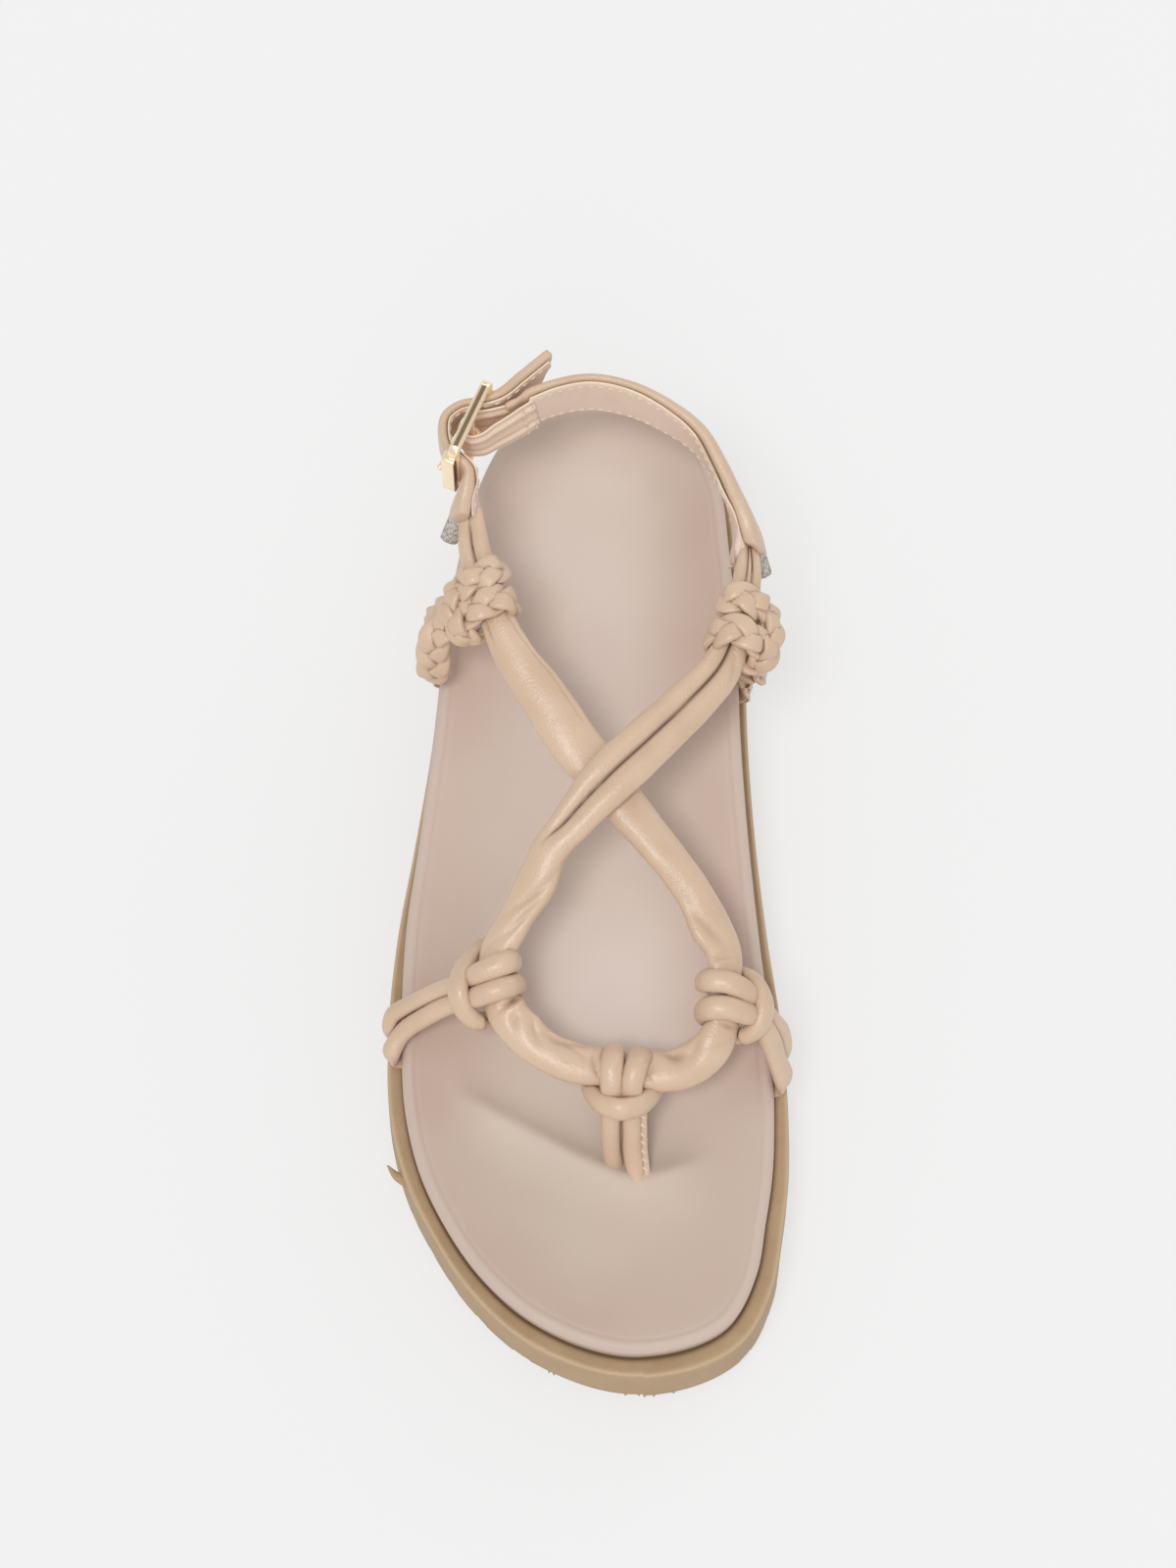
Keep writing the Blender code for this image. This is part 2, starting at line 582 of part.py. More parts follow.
def lark_head(frame, hitch, goal):
    """Both halves of a lark's head knot, each from the cord's end in to its bight, and the bight's middle.

    Rows are a point, half width and half thickness. The wraps keep a gap from the strap's oval, and the ends
    leave it towards the goal and pass under the bight.
    """
    strap_at, side, off, (reach, rise) = frame
    end, wrap, bight, thick = hitch
    clear = GAP + thick
    top, far = rise + clear, reach + clear
    end_pitch = end + 2 * KNOT_SLACK
    wrap_pitch = wrap + KNOT_SLACK
    spread = end_pitch + end + (bight + thick) / 2 + GAP + KNOT_SLACK
    way = np.asarray(goal) - strap_at(0.0)
    leave = unit([way @ side - reach, way @ off])
    above = np.array([-leave[1], leave[0]])
    first_angle = min(MAX_LEAVE, math.degrees(math.atan2(leave[0] * rise, -leave[1] * reach)))

    def around(degrees):
        turn = math.radians(degrees)
        oval = np.array([reach * math.cos(turn), rise * math.sin(turn)])
        return oval + clear * unit([math.cos(turn) / reach, math.sin(turn) / rise])

    start = around(first_angle)
    under = start + leave * END_UNDER * thick
    crown = under + above * (2 * thick + GAP + KNOT_SLACK)
    loop = []
    for out, up, share in BIGHT:
        loop.append((*(under + (leave * out + above * up) * thick), share * spread, bight))
    turn_up = np.array([OUTER_TURN[0] * far, -OUTER_TURN[1] * top])
    rows = [
        (*start, end_pitch, end),
        (*around((first_angle + WRAPS[0][0]) / 2), (end_pitch + wrap_pitch) / 2, (end + wrap) / 2),
        *[(*around(degrees), wrap_pitch, bight + (wrap - bight) * share) for degrees, share in WRAPS],
        (UNDERSIDE * reach, -top, (wrap_pitch + spread) / 2, bight),
    ]
    if np.linalg.norm(turn_up - np.array(loop[0][:2])) > 2 * thick:
        rows.append((*turn_up, spread, bight))
    rows += loop

    def place(row, sign):
        away, height, along, half_width = row
        return (*(strap_at(along * sign) + side * away + off * height), half_width, thick)

    clear_away, clear_height = start + leave * END_CLEAR * thick
    exit_point = strap_at(0.0) + side * clear_away + off * clear_height
    one, two = ([place(row, sign) for row in rows] for sign in (1, -1))
    for end_rows, beside in zip((one, two), side_by_side(exit_point, goal, one[0], two[0], end_pitch)):
        end_rows.insert(0, (*beside, end, thick))
    return one, place((*crown, 0.0, bight), 1), two


def side_by_side(point, goal, one, two, half_apart):
    """Two places beside a point on the way to a goal, as far apart as two ends that lie side by side."""
    way = unit(np.asarray(goal) - point)
    apart = np.array(one[:3]) - np.array(two[:3])
    apart = unit(apart - way * (apart @ way)) * half_apart
    return point + apart, point - apart


def tuck_rows(side, along, half_width, half_thick):
    """The end of a cord from below the footbed out over its wall, as rows of point and half sizes."""
    point, normal, tangent = edge_point(side, along)
    bed = float(section("sole_top", along)) + GAP + TAB_BED + TAB_THICK
    rim = float(section("sole_top", along) + section(f"rim_{side}", along))
    rise = half_thick - TAB_THICK
    rows = [(out, bed + up, TAB_THICK + share * rise) for out, up, share in TAB]
    rows.append((GAP + half_thick, bed + TAB_CLIMB, TAB_THICK + rise / 2))
    rows.append((GAP + half_thick + TAB_LEAN, rim + TAB_OVER, half_thick))
    up = np.array([0.0, 0.0, 1.0])
    return [(*(point + normal * out + up * z), half_width, thick) for out, z, thick in rows], tangent


def add_cord(name, start, middle, end, first_across, last_across):
    """A cord through rows of point and half sizes, and the cutters that clear the way for its two ends."""
    rows = start + middle + end
    line = even_bends(smooth_rows(rows, CORD_STEPS), CORD_SAMPLES)
    path, halves = line[:, :3], line[:, 3:]
    across = carried_across(path, first_across, last_across)
    profile = ellipse(CORD_SIDES)
    add_object(name, *sweep(path, across, halves, profile), "leather")
    run = chords(path)
    from_start = chords(np.array(start)[:, :3])[-1]
    from_end = run[-1] - chords(np.array(end)[:, :3])[-1]
    slots = []
    for label, kept in (("start", run < from_start), ("end", run > from_end)):
        shape = sweep(path[kept], across[kept], halves[kept], profile, grow=GAP)
        slots.append(add_object(f"{name}_{label}_slot", *shape, "footbed", cutter=True))
    return slots


def make_side_cord(name, place, side, hitch):
    """A cord tied to the main strap with a lark's head knot, both ends tucked under the footbed's edge."""
    front, rear = TUCKS[place.replace(" knot", "")]
    start, start_across = tuck_rows(side, front, hitch[0], hitch[3])
    end, end_across = tuck_rows(side, rear, hitch[0], hitch[3])
    goal = (np.array(start[-1][:3]) + np.array(end[-1][:3])) / 2
    one, bight, two = lark_head(knot_frame(place, goal), hitch, goal)
    if one[0][1] > two[0][1]:
        one, two = two, one
    half_way = (goal + (np.array(one[0][:3]) + np.array(two[0][:3])) / 2) / 2
    for rows, beside in zip((one, two), side_by_side(half_way, goal, one[0], two[0], hitch[0] + KNOT_SLACK)):
        rows.insert(0, (*beside, hitch[0], hitch[3]))
    return add_cord(name, start, one + [bight] + two[::-1], end[::-1], start_across, end_across)


def make_toe_post():
    """The toe cord: a lark's head knot on the strap's front, its ends going down into the footbed."""
    one, bight, two = lark_head(knot_frame("toe knot", POST_FOOT), CORD, POST_FOOT)
    if one[0][0] > two[0][0]:
        one, two = two, one
    across = np.array([1.0, 0.0, 0.0])

    def post(top, reach):
        top = np.array(top[:3])
        floor = float(section("sole_top", top[1]) + section("seat", top[1]))
        goal = np.array([top[0], POST_FOOT[1] - reach, floor + POST_RISE])
        half_way = (top + goal) / 2 + np.array(POST_BOW)
        foot = goal - np.array([0.0, POST_CANT, POST_RISE + POST_DEPTH])
        return [(*point, CORD[0], CORD[3]) for point in (half_way, goal, foot)]

    lateral, medial = post(one[0], 0.0), post(two[0], POST_STAGGER)
    return add_cord("toe_post_cord", lateral[::-1], one + [bight] + two[::-1], medial, across, across)


# Heel strap and buckle


def band(rows, steps):
    """A flat strap standing on edge: path, upward width directions that lean, and half sizes."""
    line = smooth_rows(rows, steps)
    tangent = unit(np.gradient(line[:, :3], axis=0))
    level = unit(np.column_stack([-tangent[:, 1], tangent[:, 0], np.zeros(len(line))]))
    lean = np.radians(line[:, 5])[:, None]
    up = np.array([0.0, 0.0, 1.0]) * np.cos(lean) + level * np.sin(lean)
    return line[:, :3], up, line[:, 3:5]


def buckle_point(along, out, z):
    """A point of the buckle's frame in the shoe's frame."""
    heading = unit(BUCKLE_HEADING)
    away = np.array([-heading[1], heading[0]])
    flat = np.array(BUCKLE_CENTRE[:2]) + heading * along + away * out
    return np.array([*flat, z])


def make_heel_strap():
    add_object("heel_strap", *sweep(*band(HEEL_STRAP, BAND_STEPS), rounded_strip()), "leather")


def make_buckle_strap(prong_cutter):
    rows = []
    for along, out, z, half_height, half_thick, lean in BUCKLE_STRAP:
        rows.append((*buckle_point(along, out, z), half_height, half_thick, -lean))
    strap = add_object("buckle_strap", *sweep(*band(rows, BAND_STEPS), rounded_strip()), "leather")
    combine(strap, prong_cutter, "DIFFERENCE")


def make_buckle_loop(prong_cutter):
    """The heel strap's end, folded round the buckle's centre bar, with a slot for the prong."""
    size = (LOOP_HALF_HEIGHT, LOOP_HALF_THICK, 0.0)
    rows = [(*buckle_point(along, out, LOOP_Z), *size) for along, out in BUCKLE_LOOP]
    loop = add_object("buckle_loop", *sweep(*band(rows, BAND_STEPS), rounded_strip()), "lining")
    combine(loop, prong_cutter, "DIFFERENCE")


def make_buckle_frame():
    """A rounded rectangle of wire with a centre bar."""
    loop = []
    for corner, (along, z) in enumerate(((1, 1), (-1, 1), (-1, -1), (1, -1))):
        for step in range(CORNER_STEPS + 1):
            turn = math.pi / 2 * (corner + step / CORNER_STEPS)
            reach = BUCKLE_HALF_LENGTH - BUCKLE_CORNER
            rise = BUCKLE_HALF_HEIGHT - BUCKLE_CORNER
            at = along * reach + BUCKLE_CORNER * math.cos(turn)
            loop.append(buckle_point(at, 0.0, BUCKLE_CENTRE[2] + z * rise + BUCKLE_CORNER * math.sin(turn)))
    loop = np.array(loop)
    ahead = unit(np.roll(loop, -1, axis=0) - np.roll(loop, 1, axis=0))
    away = buckle_point(0, 1, 0) - buckle_point(0, 0, 0)
    profile = ellipse(WIRE_SIDES) * BUCKLE_WIRE
    rings = []
    for point, tangent in zip(loop, ahead):
        rings.append(point + np.outer(profile[:, 0], away) + np.outer(profile[:, 1], np.cross(tangent, away)))
    count, total = len(profile), len(rings)
    faces = []
    for level in range(total):
        low, high = level * count, ((level + 1) % total) * count
        faces += [(low + i, low + (i + 1) % count, high + (i + 1) % count, high + i) for i in range(count)]
    frame = add_object("buckle_frame", np.vstack(rings), faces, "gold")
    ends = [buckle_point(0, 0, BUCKLE_CENTRE[2] + sign * BUCKLE_HALF_HEIGHT) for sign in (-1, 1)]
    bar = sweep(np.array(ends), np.tile(away, (2, 1)), np.full((2, 2), BAR_RADIUS), ellipse(HARDWARE_SIDES))
    combine(frame, add_object("buckle_bar", *bar, "gold"), "UNION")


def make_buckle_roller():
    """A tube round the buckle's front bar."""
    turn = 2 * math.pi * np.arange(HARDWARE_SIDES) / HARDWARE_SIDES
    rings = []
    for radius, end in ((ROLLER_BORE, -1), (ROLLER_RADIUS, -1), (ROLLER_RADIUS, 1), (ROLLER_BORE, 1)):
        z = BUCKLE_CENTRE[2] + end * ROLLER_HALF_LENGTH
        along, out = radius * np.cos(turn) - BUCKLE_HALF_LENGTH, radius * np.sin(turn)
        rings.append([buckle_point(x, y, z) for x, y in zip(along, out)])
    faces = []
    for level in range(4):
        low, high = level * HARDWARE_SIDES, ((level + 1) % 4) * HARDWARE_SIDES
        for i in range(HARDWARE_SIDES):
            j = (i + 1) % HARDWARE_SIDES
            faces.append((low + i, low + j, high + j, high + i))
    add_object("buckle_roller", np.vstack(rings), faces, "gold")


def prong_line():
    """The prong's centre line: a hook round the centre bar, then out over the roller."""
    hook = BAR_RADIUS + GAP + PRONG_RADIUS
    turns = np.radians(np.linspace(*PRONG_HOOK, PRONG_HOOK_POINTS))
    rows = [buckle_point(hook * math.cos(a), hook * math.sin(a), LOOP_Z) for a in turns]
    rest = ROLLER_RADIUS + PRONG_REST + PRONG_RADIUS
    rows.append(buckle_point(-0.5 * BUCKLE_HALF_LENGTH, 0.5 * (hook + rest), LOOP_Z))
    rows.append(buckle_point(-BUCKLE_HALF_LENGTH, rest, LOOP_Z))
    rows.append(buckle_point(*PRONG_TIP, LOOP_Z))
    return np.array(rows)


def make_prong():
    """The prong, and the wider copy that clears its way through strap and loop."""
    line = prong_line()
    across = np.tile([0.0, 0.0, 1.0], (len(line), 1))
    halves = np.full((len(line), 2), PRONG_RADIUS)
    add_object("buckle_prong", *sweep(line, across, halves, ellipse(WIRE_SIDES)), "gold")
    wide = sweep(line, across, halves, ellipse(WIRE_SIDES), grow=PRONG_CLEAR)
    return add_object("prong_way", *wide, "gold", cutter=True)


def make_elastic_end(name, centre, heading):
    """A short piece of flat elastic with rounded edges."""
    long_way = unit(heading)
    thick = unit(np.cross(long_way, ELASTIC_FACE))
    width = np.cross(long_way, thick)
    ends = np.array([np.array(centre) + long_way * ELASTIC_SIZE[2] / 2 * end for end in (-1.0, 1.0)])
    halves = np.tile([ELASTIC_SIZE[1] / 2, ELASTIC_SIZE[0] / 2], (2, 1))
    add_object(name, *sweep(ends, np.tile(width, (2, 1)), halves, rounded_strip()), "elastic")


def main():
    for old in list(bpy.data.objects):
        bpy.data.objects.remove(old, do_unlink=True)
    cutters = make_toe_post()
    for side in ("lateral", "medial"):
        cutters += make_side_cord(f"ball_cord_{side}", f"{side} ball knot", side, CORD)
        cutters += make_side_cord(f"braid_{side}", f"{side} rear knot", side, BRAID)
    make_outsole()
    make_footbed(cutters)
    make_main_strap()
    make_heel_strap()
    prong_way = make_prong()
    make_buckle_strap(prong_way)
    make_buckle_loop(prong_way)
    make_buckle_frame()
    make_buckle_roller()
    for name, (centre, heading) in ELASTIC_ENDS.items():
        make_elastic_end(name, centre, heading)


main()
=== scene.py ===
"""Looks of a strappy knotted sandal for a right foot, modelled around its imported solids.

The toe points along -Y, the big toe side (medial) is +X and the floor is z = 0. Tables are in millimetres.
"""

import math

import bpy
import numpy as np
from mathutils import Matrix, Vector
from mathutils.bvhtree import BVHTree


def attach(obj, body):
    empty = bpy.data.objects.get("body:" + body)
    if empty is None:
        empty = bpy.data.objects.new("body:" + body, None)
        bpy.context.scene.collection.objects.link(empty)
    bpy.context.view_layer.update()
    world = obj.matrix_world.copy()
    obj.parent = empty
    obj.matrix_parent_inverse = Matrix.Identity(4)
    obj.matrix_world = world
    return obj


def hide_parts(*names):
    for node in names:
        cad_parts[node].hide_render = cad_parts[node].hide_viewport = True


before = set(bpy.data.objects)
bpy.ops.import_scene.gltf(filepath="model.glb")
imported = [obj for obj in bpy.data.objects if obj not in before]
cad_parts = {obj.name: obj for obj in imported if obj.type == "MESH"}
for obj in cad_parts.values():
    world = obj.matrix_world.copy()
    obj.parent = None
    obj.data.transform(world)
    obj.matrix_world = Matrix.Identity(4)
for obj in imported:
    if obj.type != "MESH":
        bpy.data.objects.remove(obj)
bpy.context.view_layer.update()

MM = 0.001
FULL_TURN = 2 * math.pi

# Faces round and along the pieces that are rolled up from a grid
STRAP_MESH, CORD_MESH, STRAND_MESH, SEAM_MESH = (96, 800), (40, 380), (28, 480), (14, 60)
BAND_MESH, LOOP_MESH = (44, 260), (96, 220)
PRONG_MESH, ELASTIC_MESH, SLIVER_MESH = (20, 90), (28, 40), (16, 24)

# Camera, in metres: straight in front of the toe and high above it
CAMERA_TARGET = (0.0, 0.02583, 0.020)
CAMERA_DISTANCE = 1.2
CAMERA_ELEVATION = 70
CAMERA_LENS = 107.14

# Light. Columns of the lamps: name, strength, width in degrees, tilt from straight above, way it comes from
WORLD_LIGHT, FLOOR_WHITE, FLOOR_GLOW = 0.60, 0.26, 0.61
LAMPS = (
    ("key", 1.15, 17, 20, -30),
    ("back", 0.38, 36, 66, 142),
    ("front", 0.40, 40, 52, 4),
)

# Sole and footbed, one row for each section from the toe to the heel
SECTION_COLUMNS = (
    "along", "lateral", "medial", "ledge_lateral", "ledge_medial",
    "sole_top", "rim_lateral", "rim_medial", "seat",
)
SECTIONS = (
    (-117.0, -13.7, 35.6, 4.2, 4.6, 22.0, 7.0, 7.0, 4.6),
    (-105.0, -27.0, 41.6, 3.7, 4.5, 21.2, 6.8, 6.8, 4.5),
    (-92.0, -35.8, 44.0, 3.4, 4.4, 20.6, 6.6, 6.6, 4.4),
    (-80.0, -41.5, 45.8, 3.6, 4.2, 20.2, 6.5, 6.5, 4.2),
    (-65.0, -45.4, 46.5, 3.9, 3.8, 20.0, 6.5, 6.5, 4.0),
    (-42.0, -46.8, 45.7, 3.6, 3.3, 20.4, 6.8, 7.2, 4.2),
    (-17.0, -46.0, 43.0, 2.4, 2.6, 21.1, 7.4, 9.0, 4.9),
    (8.0, -42.7, 40.5, 1.5, 2.4, 22.0, 8.4, 12.0, 6.0),
    (34.0, -39.4, 38.8, 0.8, 2.4, 23.1, 9.8, 13.8, 6.6),
    (60.0, -36.7, 38.1, 0.8, 2.4, 24.1, 11.8, 13.6, 6.2),
    (84.0, -32.9, 36.4, 1.2, 2.4, 24.7, 13.2, 13.6, 5.6),
    (102.0, -28.2, 34.0, 1.8, 2.6, 25.0, 13.6, 13.6, 5.4),
    (117.0, -19.9, 26.6, 2.7, 3.0, 25.0, 13.4, 13.4, 5.6),
)
TOE_APEX, HEEL_APEX = (13.0, -125.3), (3.2, 125.0)
SIDE_POINTS, END_DENSITY = 210, 0.45
SPINE_MARGIN = 34.0  # the middle line of sole and footbed ends this far from toe and heel

# Outsole
WALL_FLARE, WALL_FOOT, WALL_BEVEL = 0.3, 1.6, 2.2
LEDGE_ROUND, LEDGE_DISH = 0.9, 0.25
# From the ledge's edge in to the footbed: share of the way, share of the dish, strength of the dark line and
# painted shade where the ledge meets the footbed
LEDGE_STEPS = ((0.2, 0.5, 0.0), (0.45, 0.9, 0.04), (0.72, 1.0, 0.15), (0.88, 1.1, 0.5), (1.0, 1.2, 1.0))
TOP_INSET = 12.0
TOE_SPRING, TOE_LIFT_FROM, TOE_CURVE = 5.4, -70.0, 1.8
TOE_FLARE, TOE_FLARE_MIDDLE, TOE_FLARE_WIDTH = 0.9, 15.0, 20.0
HEEL_LIFT, HEEL_LIFT_FROM = 2.0, 116.0
ARCH_HEIGHT, ARCH_FROM, ARCH_TO = 2.6, 6.0, 50.0
SOLE_ENDS = (-131.0, 128.7)
LUG_PITCH, LUG_GROOVE, LUG_DEPTH, LUG_REACH = 9.0, 3.0, 2.2, 80.0
LUG_FIELDS = ((-122.0, 2.0), (57.0, 122.0))
RAGGED_FROM, RAGGED_FULL, RAGGED_DEPTH, RAGGED_PITCH = -100.0, -118.0, 0.9, 5.5
# Flash left by the mould. Columns of the sliver: x, y, z, half_width, half_thick
FLASH_SLIVER = (
    (-45.4, -77.4, 11.0, 1.6, 0.8),
    (-48.2, -75.9, 11.6, 1.1, 0.6),
    (-50.4, -73.6, 12.8, 0.2, 0.2),
)
SLIVER_WIDTH, SLIVER_STEPS = (0.6, 0.8, 0.0), 12
FLASH_NIBS, FLASH_NIB_SIZE = (-7.6, -6.4, 9.6, 12.2, 13.4, 16.0, 19.6), (1.9, 0.4)
NIB_INSET, NIB_HEIGHT = 0.5, 0.9

# Footbed
SOLE_GAP = 0.3
WALL_TUCK, WALL_TUCK_ROUND = 0.4, 0.3
RIM_ROUND = 2.0
RIM_LINE, RIM_LINE_DEPTH, RIM_LINE_WIDTH = 3.4, 0.2, 0.6  # faint line inside the rim
# Painted highlight on the rounded rim: its strength, and the width over which it fades inwards to the faint
# line
RIM_HIGHLIGHT, RIM_HIGHLIGHT_FADE = 0.8, 1.4
BOWL_STEEP, BOWL_CURVE = 1.25, 1.3
CREST_HEIGHT, CREST_WIDTHS, CREST_FADE = 2.2, (4.6, 9.0), 12.0  # widths towards the heel and towards the toe
CREST_EDGE, CREST_EDGE_WIDTHS = 1.1, (1.5, 2.6)
BED_RINGS = 66
# Painted sheen and painted light: paler patches that stand in for the footbed's sheen and lighten where it is
# shaded: centre, size, strength
SHEEN_PATCHES = (
    ((9.0, -37.0), (24.0, 25.0), 0.75),
    ((4.0, 72.0), (16.0, 50.0), 0.4),
    ((2.0, 22.0), (60.0, 75.0), 0.35),
    ((-22.0, 96.0), (15.0, 24.0), 0.5),
)
# The sides are pinker, fading towards the middle line, and a share of the pink is missing beside the big toe
PINK_REACH, PINK_LOST, BIG_TOE_ACROSS, BIG_TOE_AHEAD = 0.75, 0.7, (-10.0, 25.0), (40.0, 75.0)
GLUE_SMEAR, GLUE_REACH, GLUE_STRENGTH, GLUE_TOP = ((38.7, -109.0), (32.5, -120.0)), 2.6, 0.75, (1.5, 3.2)
CREST_LINE = ((-36.0, -57.0), (-15.0, -68.0), (1.0, -76.5), (11.0, -80.5), (22.0, -78.5), (33.0, -74.0))

# Main strap. Columns: place, x, y, z, half_width, half_thick
MAIN_STRAP = (
    ("medial tail end", 40.6, 74.4, 69.8, 1.7, 1.2),
    ("medial tail", 40.1, 65.1, 69.7, 3.6, 2.3),
    ("medial rear knot", 37.8, 53.5, 69.0, 4.2, 2.7),
    ("medial arm root", 33.4, 40.0, 67.4, 5.2, 2.8),
    ("medial arm", 24.8, 29.7, 66.9, 6.0, 2.9),
    ("before the crossing", 14.3, 19.4, 66.6, 6.6, 2.9),
    ("over the crossing", 4.6, 9.9, 65.8, 6.7, 2.8),
    ("past the crossing", -3.9, 0.5, 62.4, 5.3, 2.9),
    ("fold end", -9.2, -5.4, 59.8, 4.7, 3.0),
    ("lateral arm", -13.1, -13.2, 56.4, 4.7, 3.0),
    ("lateral arm foot", -17.9, -21.3, 52.6, 4.5, 2.9),
    ("above the lateral ball", -22.3, -29.4, 49.2, 4.7, 2.7),
    ("lateral ball knot", -22.3, -36.3, 46.8, 4.4, 2.5),
    ("lateral bend", -20.1, -43.2, 45.4, 5.1, 2.8),
    ("lateral curve", -15.7, -48.9, 44.4, 5.1, 2.9),
    ("lateral front", -9.7, -53.2, 43.6, 5.0, 2.9),
    ("left of the toe", -2.4, -55.8, 43.0, 5.2, 2.9),
    ("toe knot", 8.9, -57.2, 42.5, 4.6, 2.5),
    ("right of the toe", 18.1, -57.7, 42.5, 5.3, 2.9),
    ("medial front", 22.7, -57.1, 42.7, 5.3, 2.9),
    ("medial curve", 26.5, -55.3, 43.1, 5.3, 2.9),
    ("medial bend", 30.5, -52.0, 43.8, 5.0, 2.9),
    ("below the medial ball", 32.9, -47.5, 44.8, 4.5, 2.7),
    ("medial ball knot", 33.5, -39.0, 46.6, 4.4, 2.5),
    ("medial loop", 33.2, -27.6, 49.2, 4.8, 2.8),
    ("medial loop arm", 30.3, -22.0, 50.8, 5.1, 2.9),
    ("right arm", 25.1, -13.6, 53.6, 4.9, 2.9),
    ("right arm root", 18.0, -4.4, 56.6, 5.0, 2.9),
    ("under the crossing", 9.0, 6.1, 59.4, 5.6, 2.8),
    ("lateral crossing", 2.7, 14.0, 60.9, 6.1, 2.7),
    ("lateral rear arm", -4.0, 22.2, 62.7, 6.3, 2.7),
    ("lateral rear arm top", -12.4, 34.7, 64.8, 5.9, 2.8),
    ("lateral arm root", -18.7, 43.8, 66.0, 5.1, 2.8),
    ("lateral knot foot", -22.0, 50.5, 66.7, 4.6, 2.8),
    ("lateral rear knot", -25.2, 59.3, 67.6, 4.2, 2.7),
    ("lateral tail", -28.4, 70.6, 69.3, 4.2, 2.4),
    ("lateral tail end", -29.7, 80.5, 71.0, 3.3, 1.5),
)
STRAP_MID_X, STRAP_LEAN = 4.0, 0.8
STRAP_STEPS = 24
CREVICE_REACH, CREVICE_FAINT = 1.4, 0.4  # painted shade: narrower gaps are painted darker, on the upright straps by a share only
# Long folds, or a ridge where the depth is below 0: depth, width, and the angle round the strap at each place
FOLDS = (
    (2.5, 0.45, {
        "medial rear knot": 98, "medial arm root": 98, "medial arm": 96, "before the crossing": 93,
        "over the crossing": 94, "past the crossing": 104, "fold end": 112,
    }),
    (1.6, 0.40, {"medial tail end": 104, "medial rear knot": 104}),
    (1.6, 0.40, {"medial tail end": 70, "medial rear knot": 74}),
    (1.7, 0.40, {"lateral rear knot": 92, "lateral tail": 90, "lateral tail end": 88}),
    (-0.5, 0.80, {"medial loop": 104, "medial loop arm": 112, "right arm": 108, "right arm root": 100}),
    (0.5, 0.40, {
        "lateral rear arm": 138, "lateral rear arm top": 145, "lateral arm root": 152,
        "lateral knot foot": 142, "lateral rear knot": 142,
    }),
)
# A fold comes and goes over a stretch round its first and its last place
FOLD_STARTS, FOLD_ENDS = (-1.0, 4.0), (-7.0, 2.0)
# Painted shade in the folds and creases: strength for folds, the depth it counts up to, strength for creases,
# and its limit
FOLD_SHADE, FOLD_SHADE_DEPTH, CREASE_SHADE, SHADE_LIMIT = 0.32, 2.4, 0.22, 0.85
# Creases, or ridges where the depth is below 0
# Columns: place, offset along the strap, angle round it, half length, half width, slant, depth
CREASES = (
    ("lateral arm", 1.0, 4, 6.0, 3.0, 0, -1.1),
    ("lateral arm", 2.0, 56, 8.0, 1.1, 22, 0.75),
    ("lateral arm foot", -1.0, 52, 7.0, 1.0, 14, 0.6),
    ("above the lateral ball", -1.0, 110, 4.0, 0.8, 25, 0.3),
    ("lateral bend", -1.8, 42, 2.8, 0.7, 76, 1.8),
    ("lateral bend", 0.4, 44, 2.4, 1.1, 65, -0.6),
    ("lateral bend", 2.8, 80, 2.4, 1.0, 30, 0.7),
    ("lateral curve", -1.0, 20, 3.0, 2.0, 0, -0.6),
    ("lateral curve", 1.5, 62, 4.0, 1.1, 30, 0.6),
    ("lateral front", 2.0, 42, 5.5, 1.5, -8, 0.9),
    ("left of the toe", -1.0, 66, 3.0, 0.9, 24, 0.45),
    ("left of the toe", 3.6, 80, 1.6, 0.6, 75, 0.7),
    ("left of the toe", 4.8, 112, 1.5, 0.5, 65, 0.55),
    ("right of the toe", -3.4, 115, 1.5, 0.5, 60, 0.45),
    ("right of the toe", -2.8, 96, 1.3, 0.5, -60, 0.35),
    ("medial front", -0.5, 52, 3.2, 2.0, 20, 1.5),
    ("medial curve", 2.0, 58, 3.6, 1.3, -30, 0.5),
    ("medial bend", 1.5, 104, 3.0, 1.0, 35, 0.3),
    ("below the medial ball", 1.0, 100, 1.6, 0.6, 90, 0.45),
    ("medial ball knot", 8.6, 60, 2.6, 0.6, 90, 0.7),
    ("medial ball knot", 10.2, 84, 1.8, 0.5, 80, 0.4),
    ("medial loop", 4.0, 62, 5.0, 1.8, -12, 0.7),
    ("medial loop", 5.0, 8, 5.0, 3.0, 0, -1.2),
    ("right arm", -3.0, 46, 8.0, 2.4, 0, 0.6),
    ("lateral knot foot", 1.0, 52, 4.0, 0.55, 0, 0.8),
    ("medial arm root", -1.0, 62, 4.0, 0.8, -20, 0.45),
)

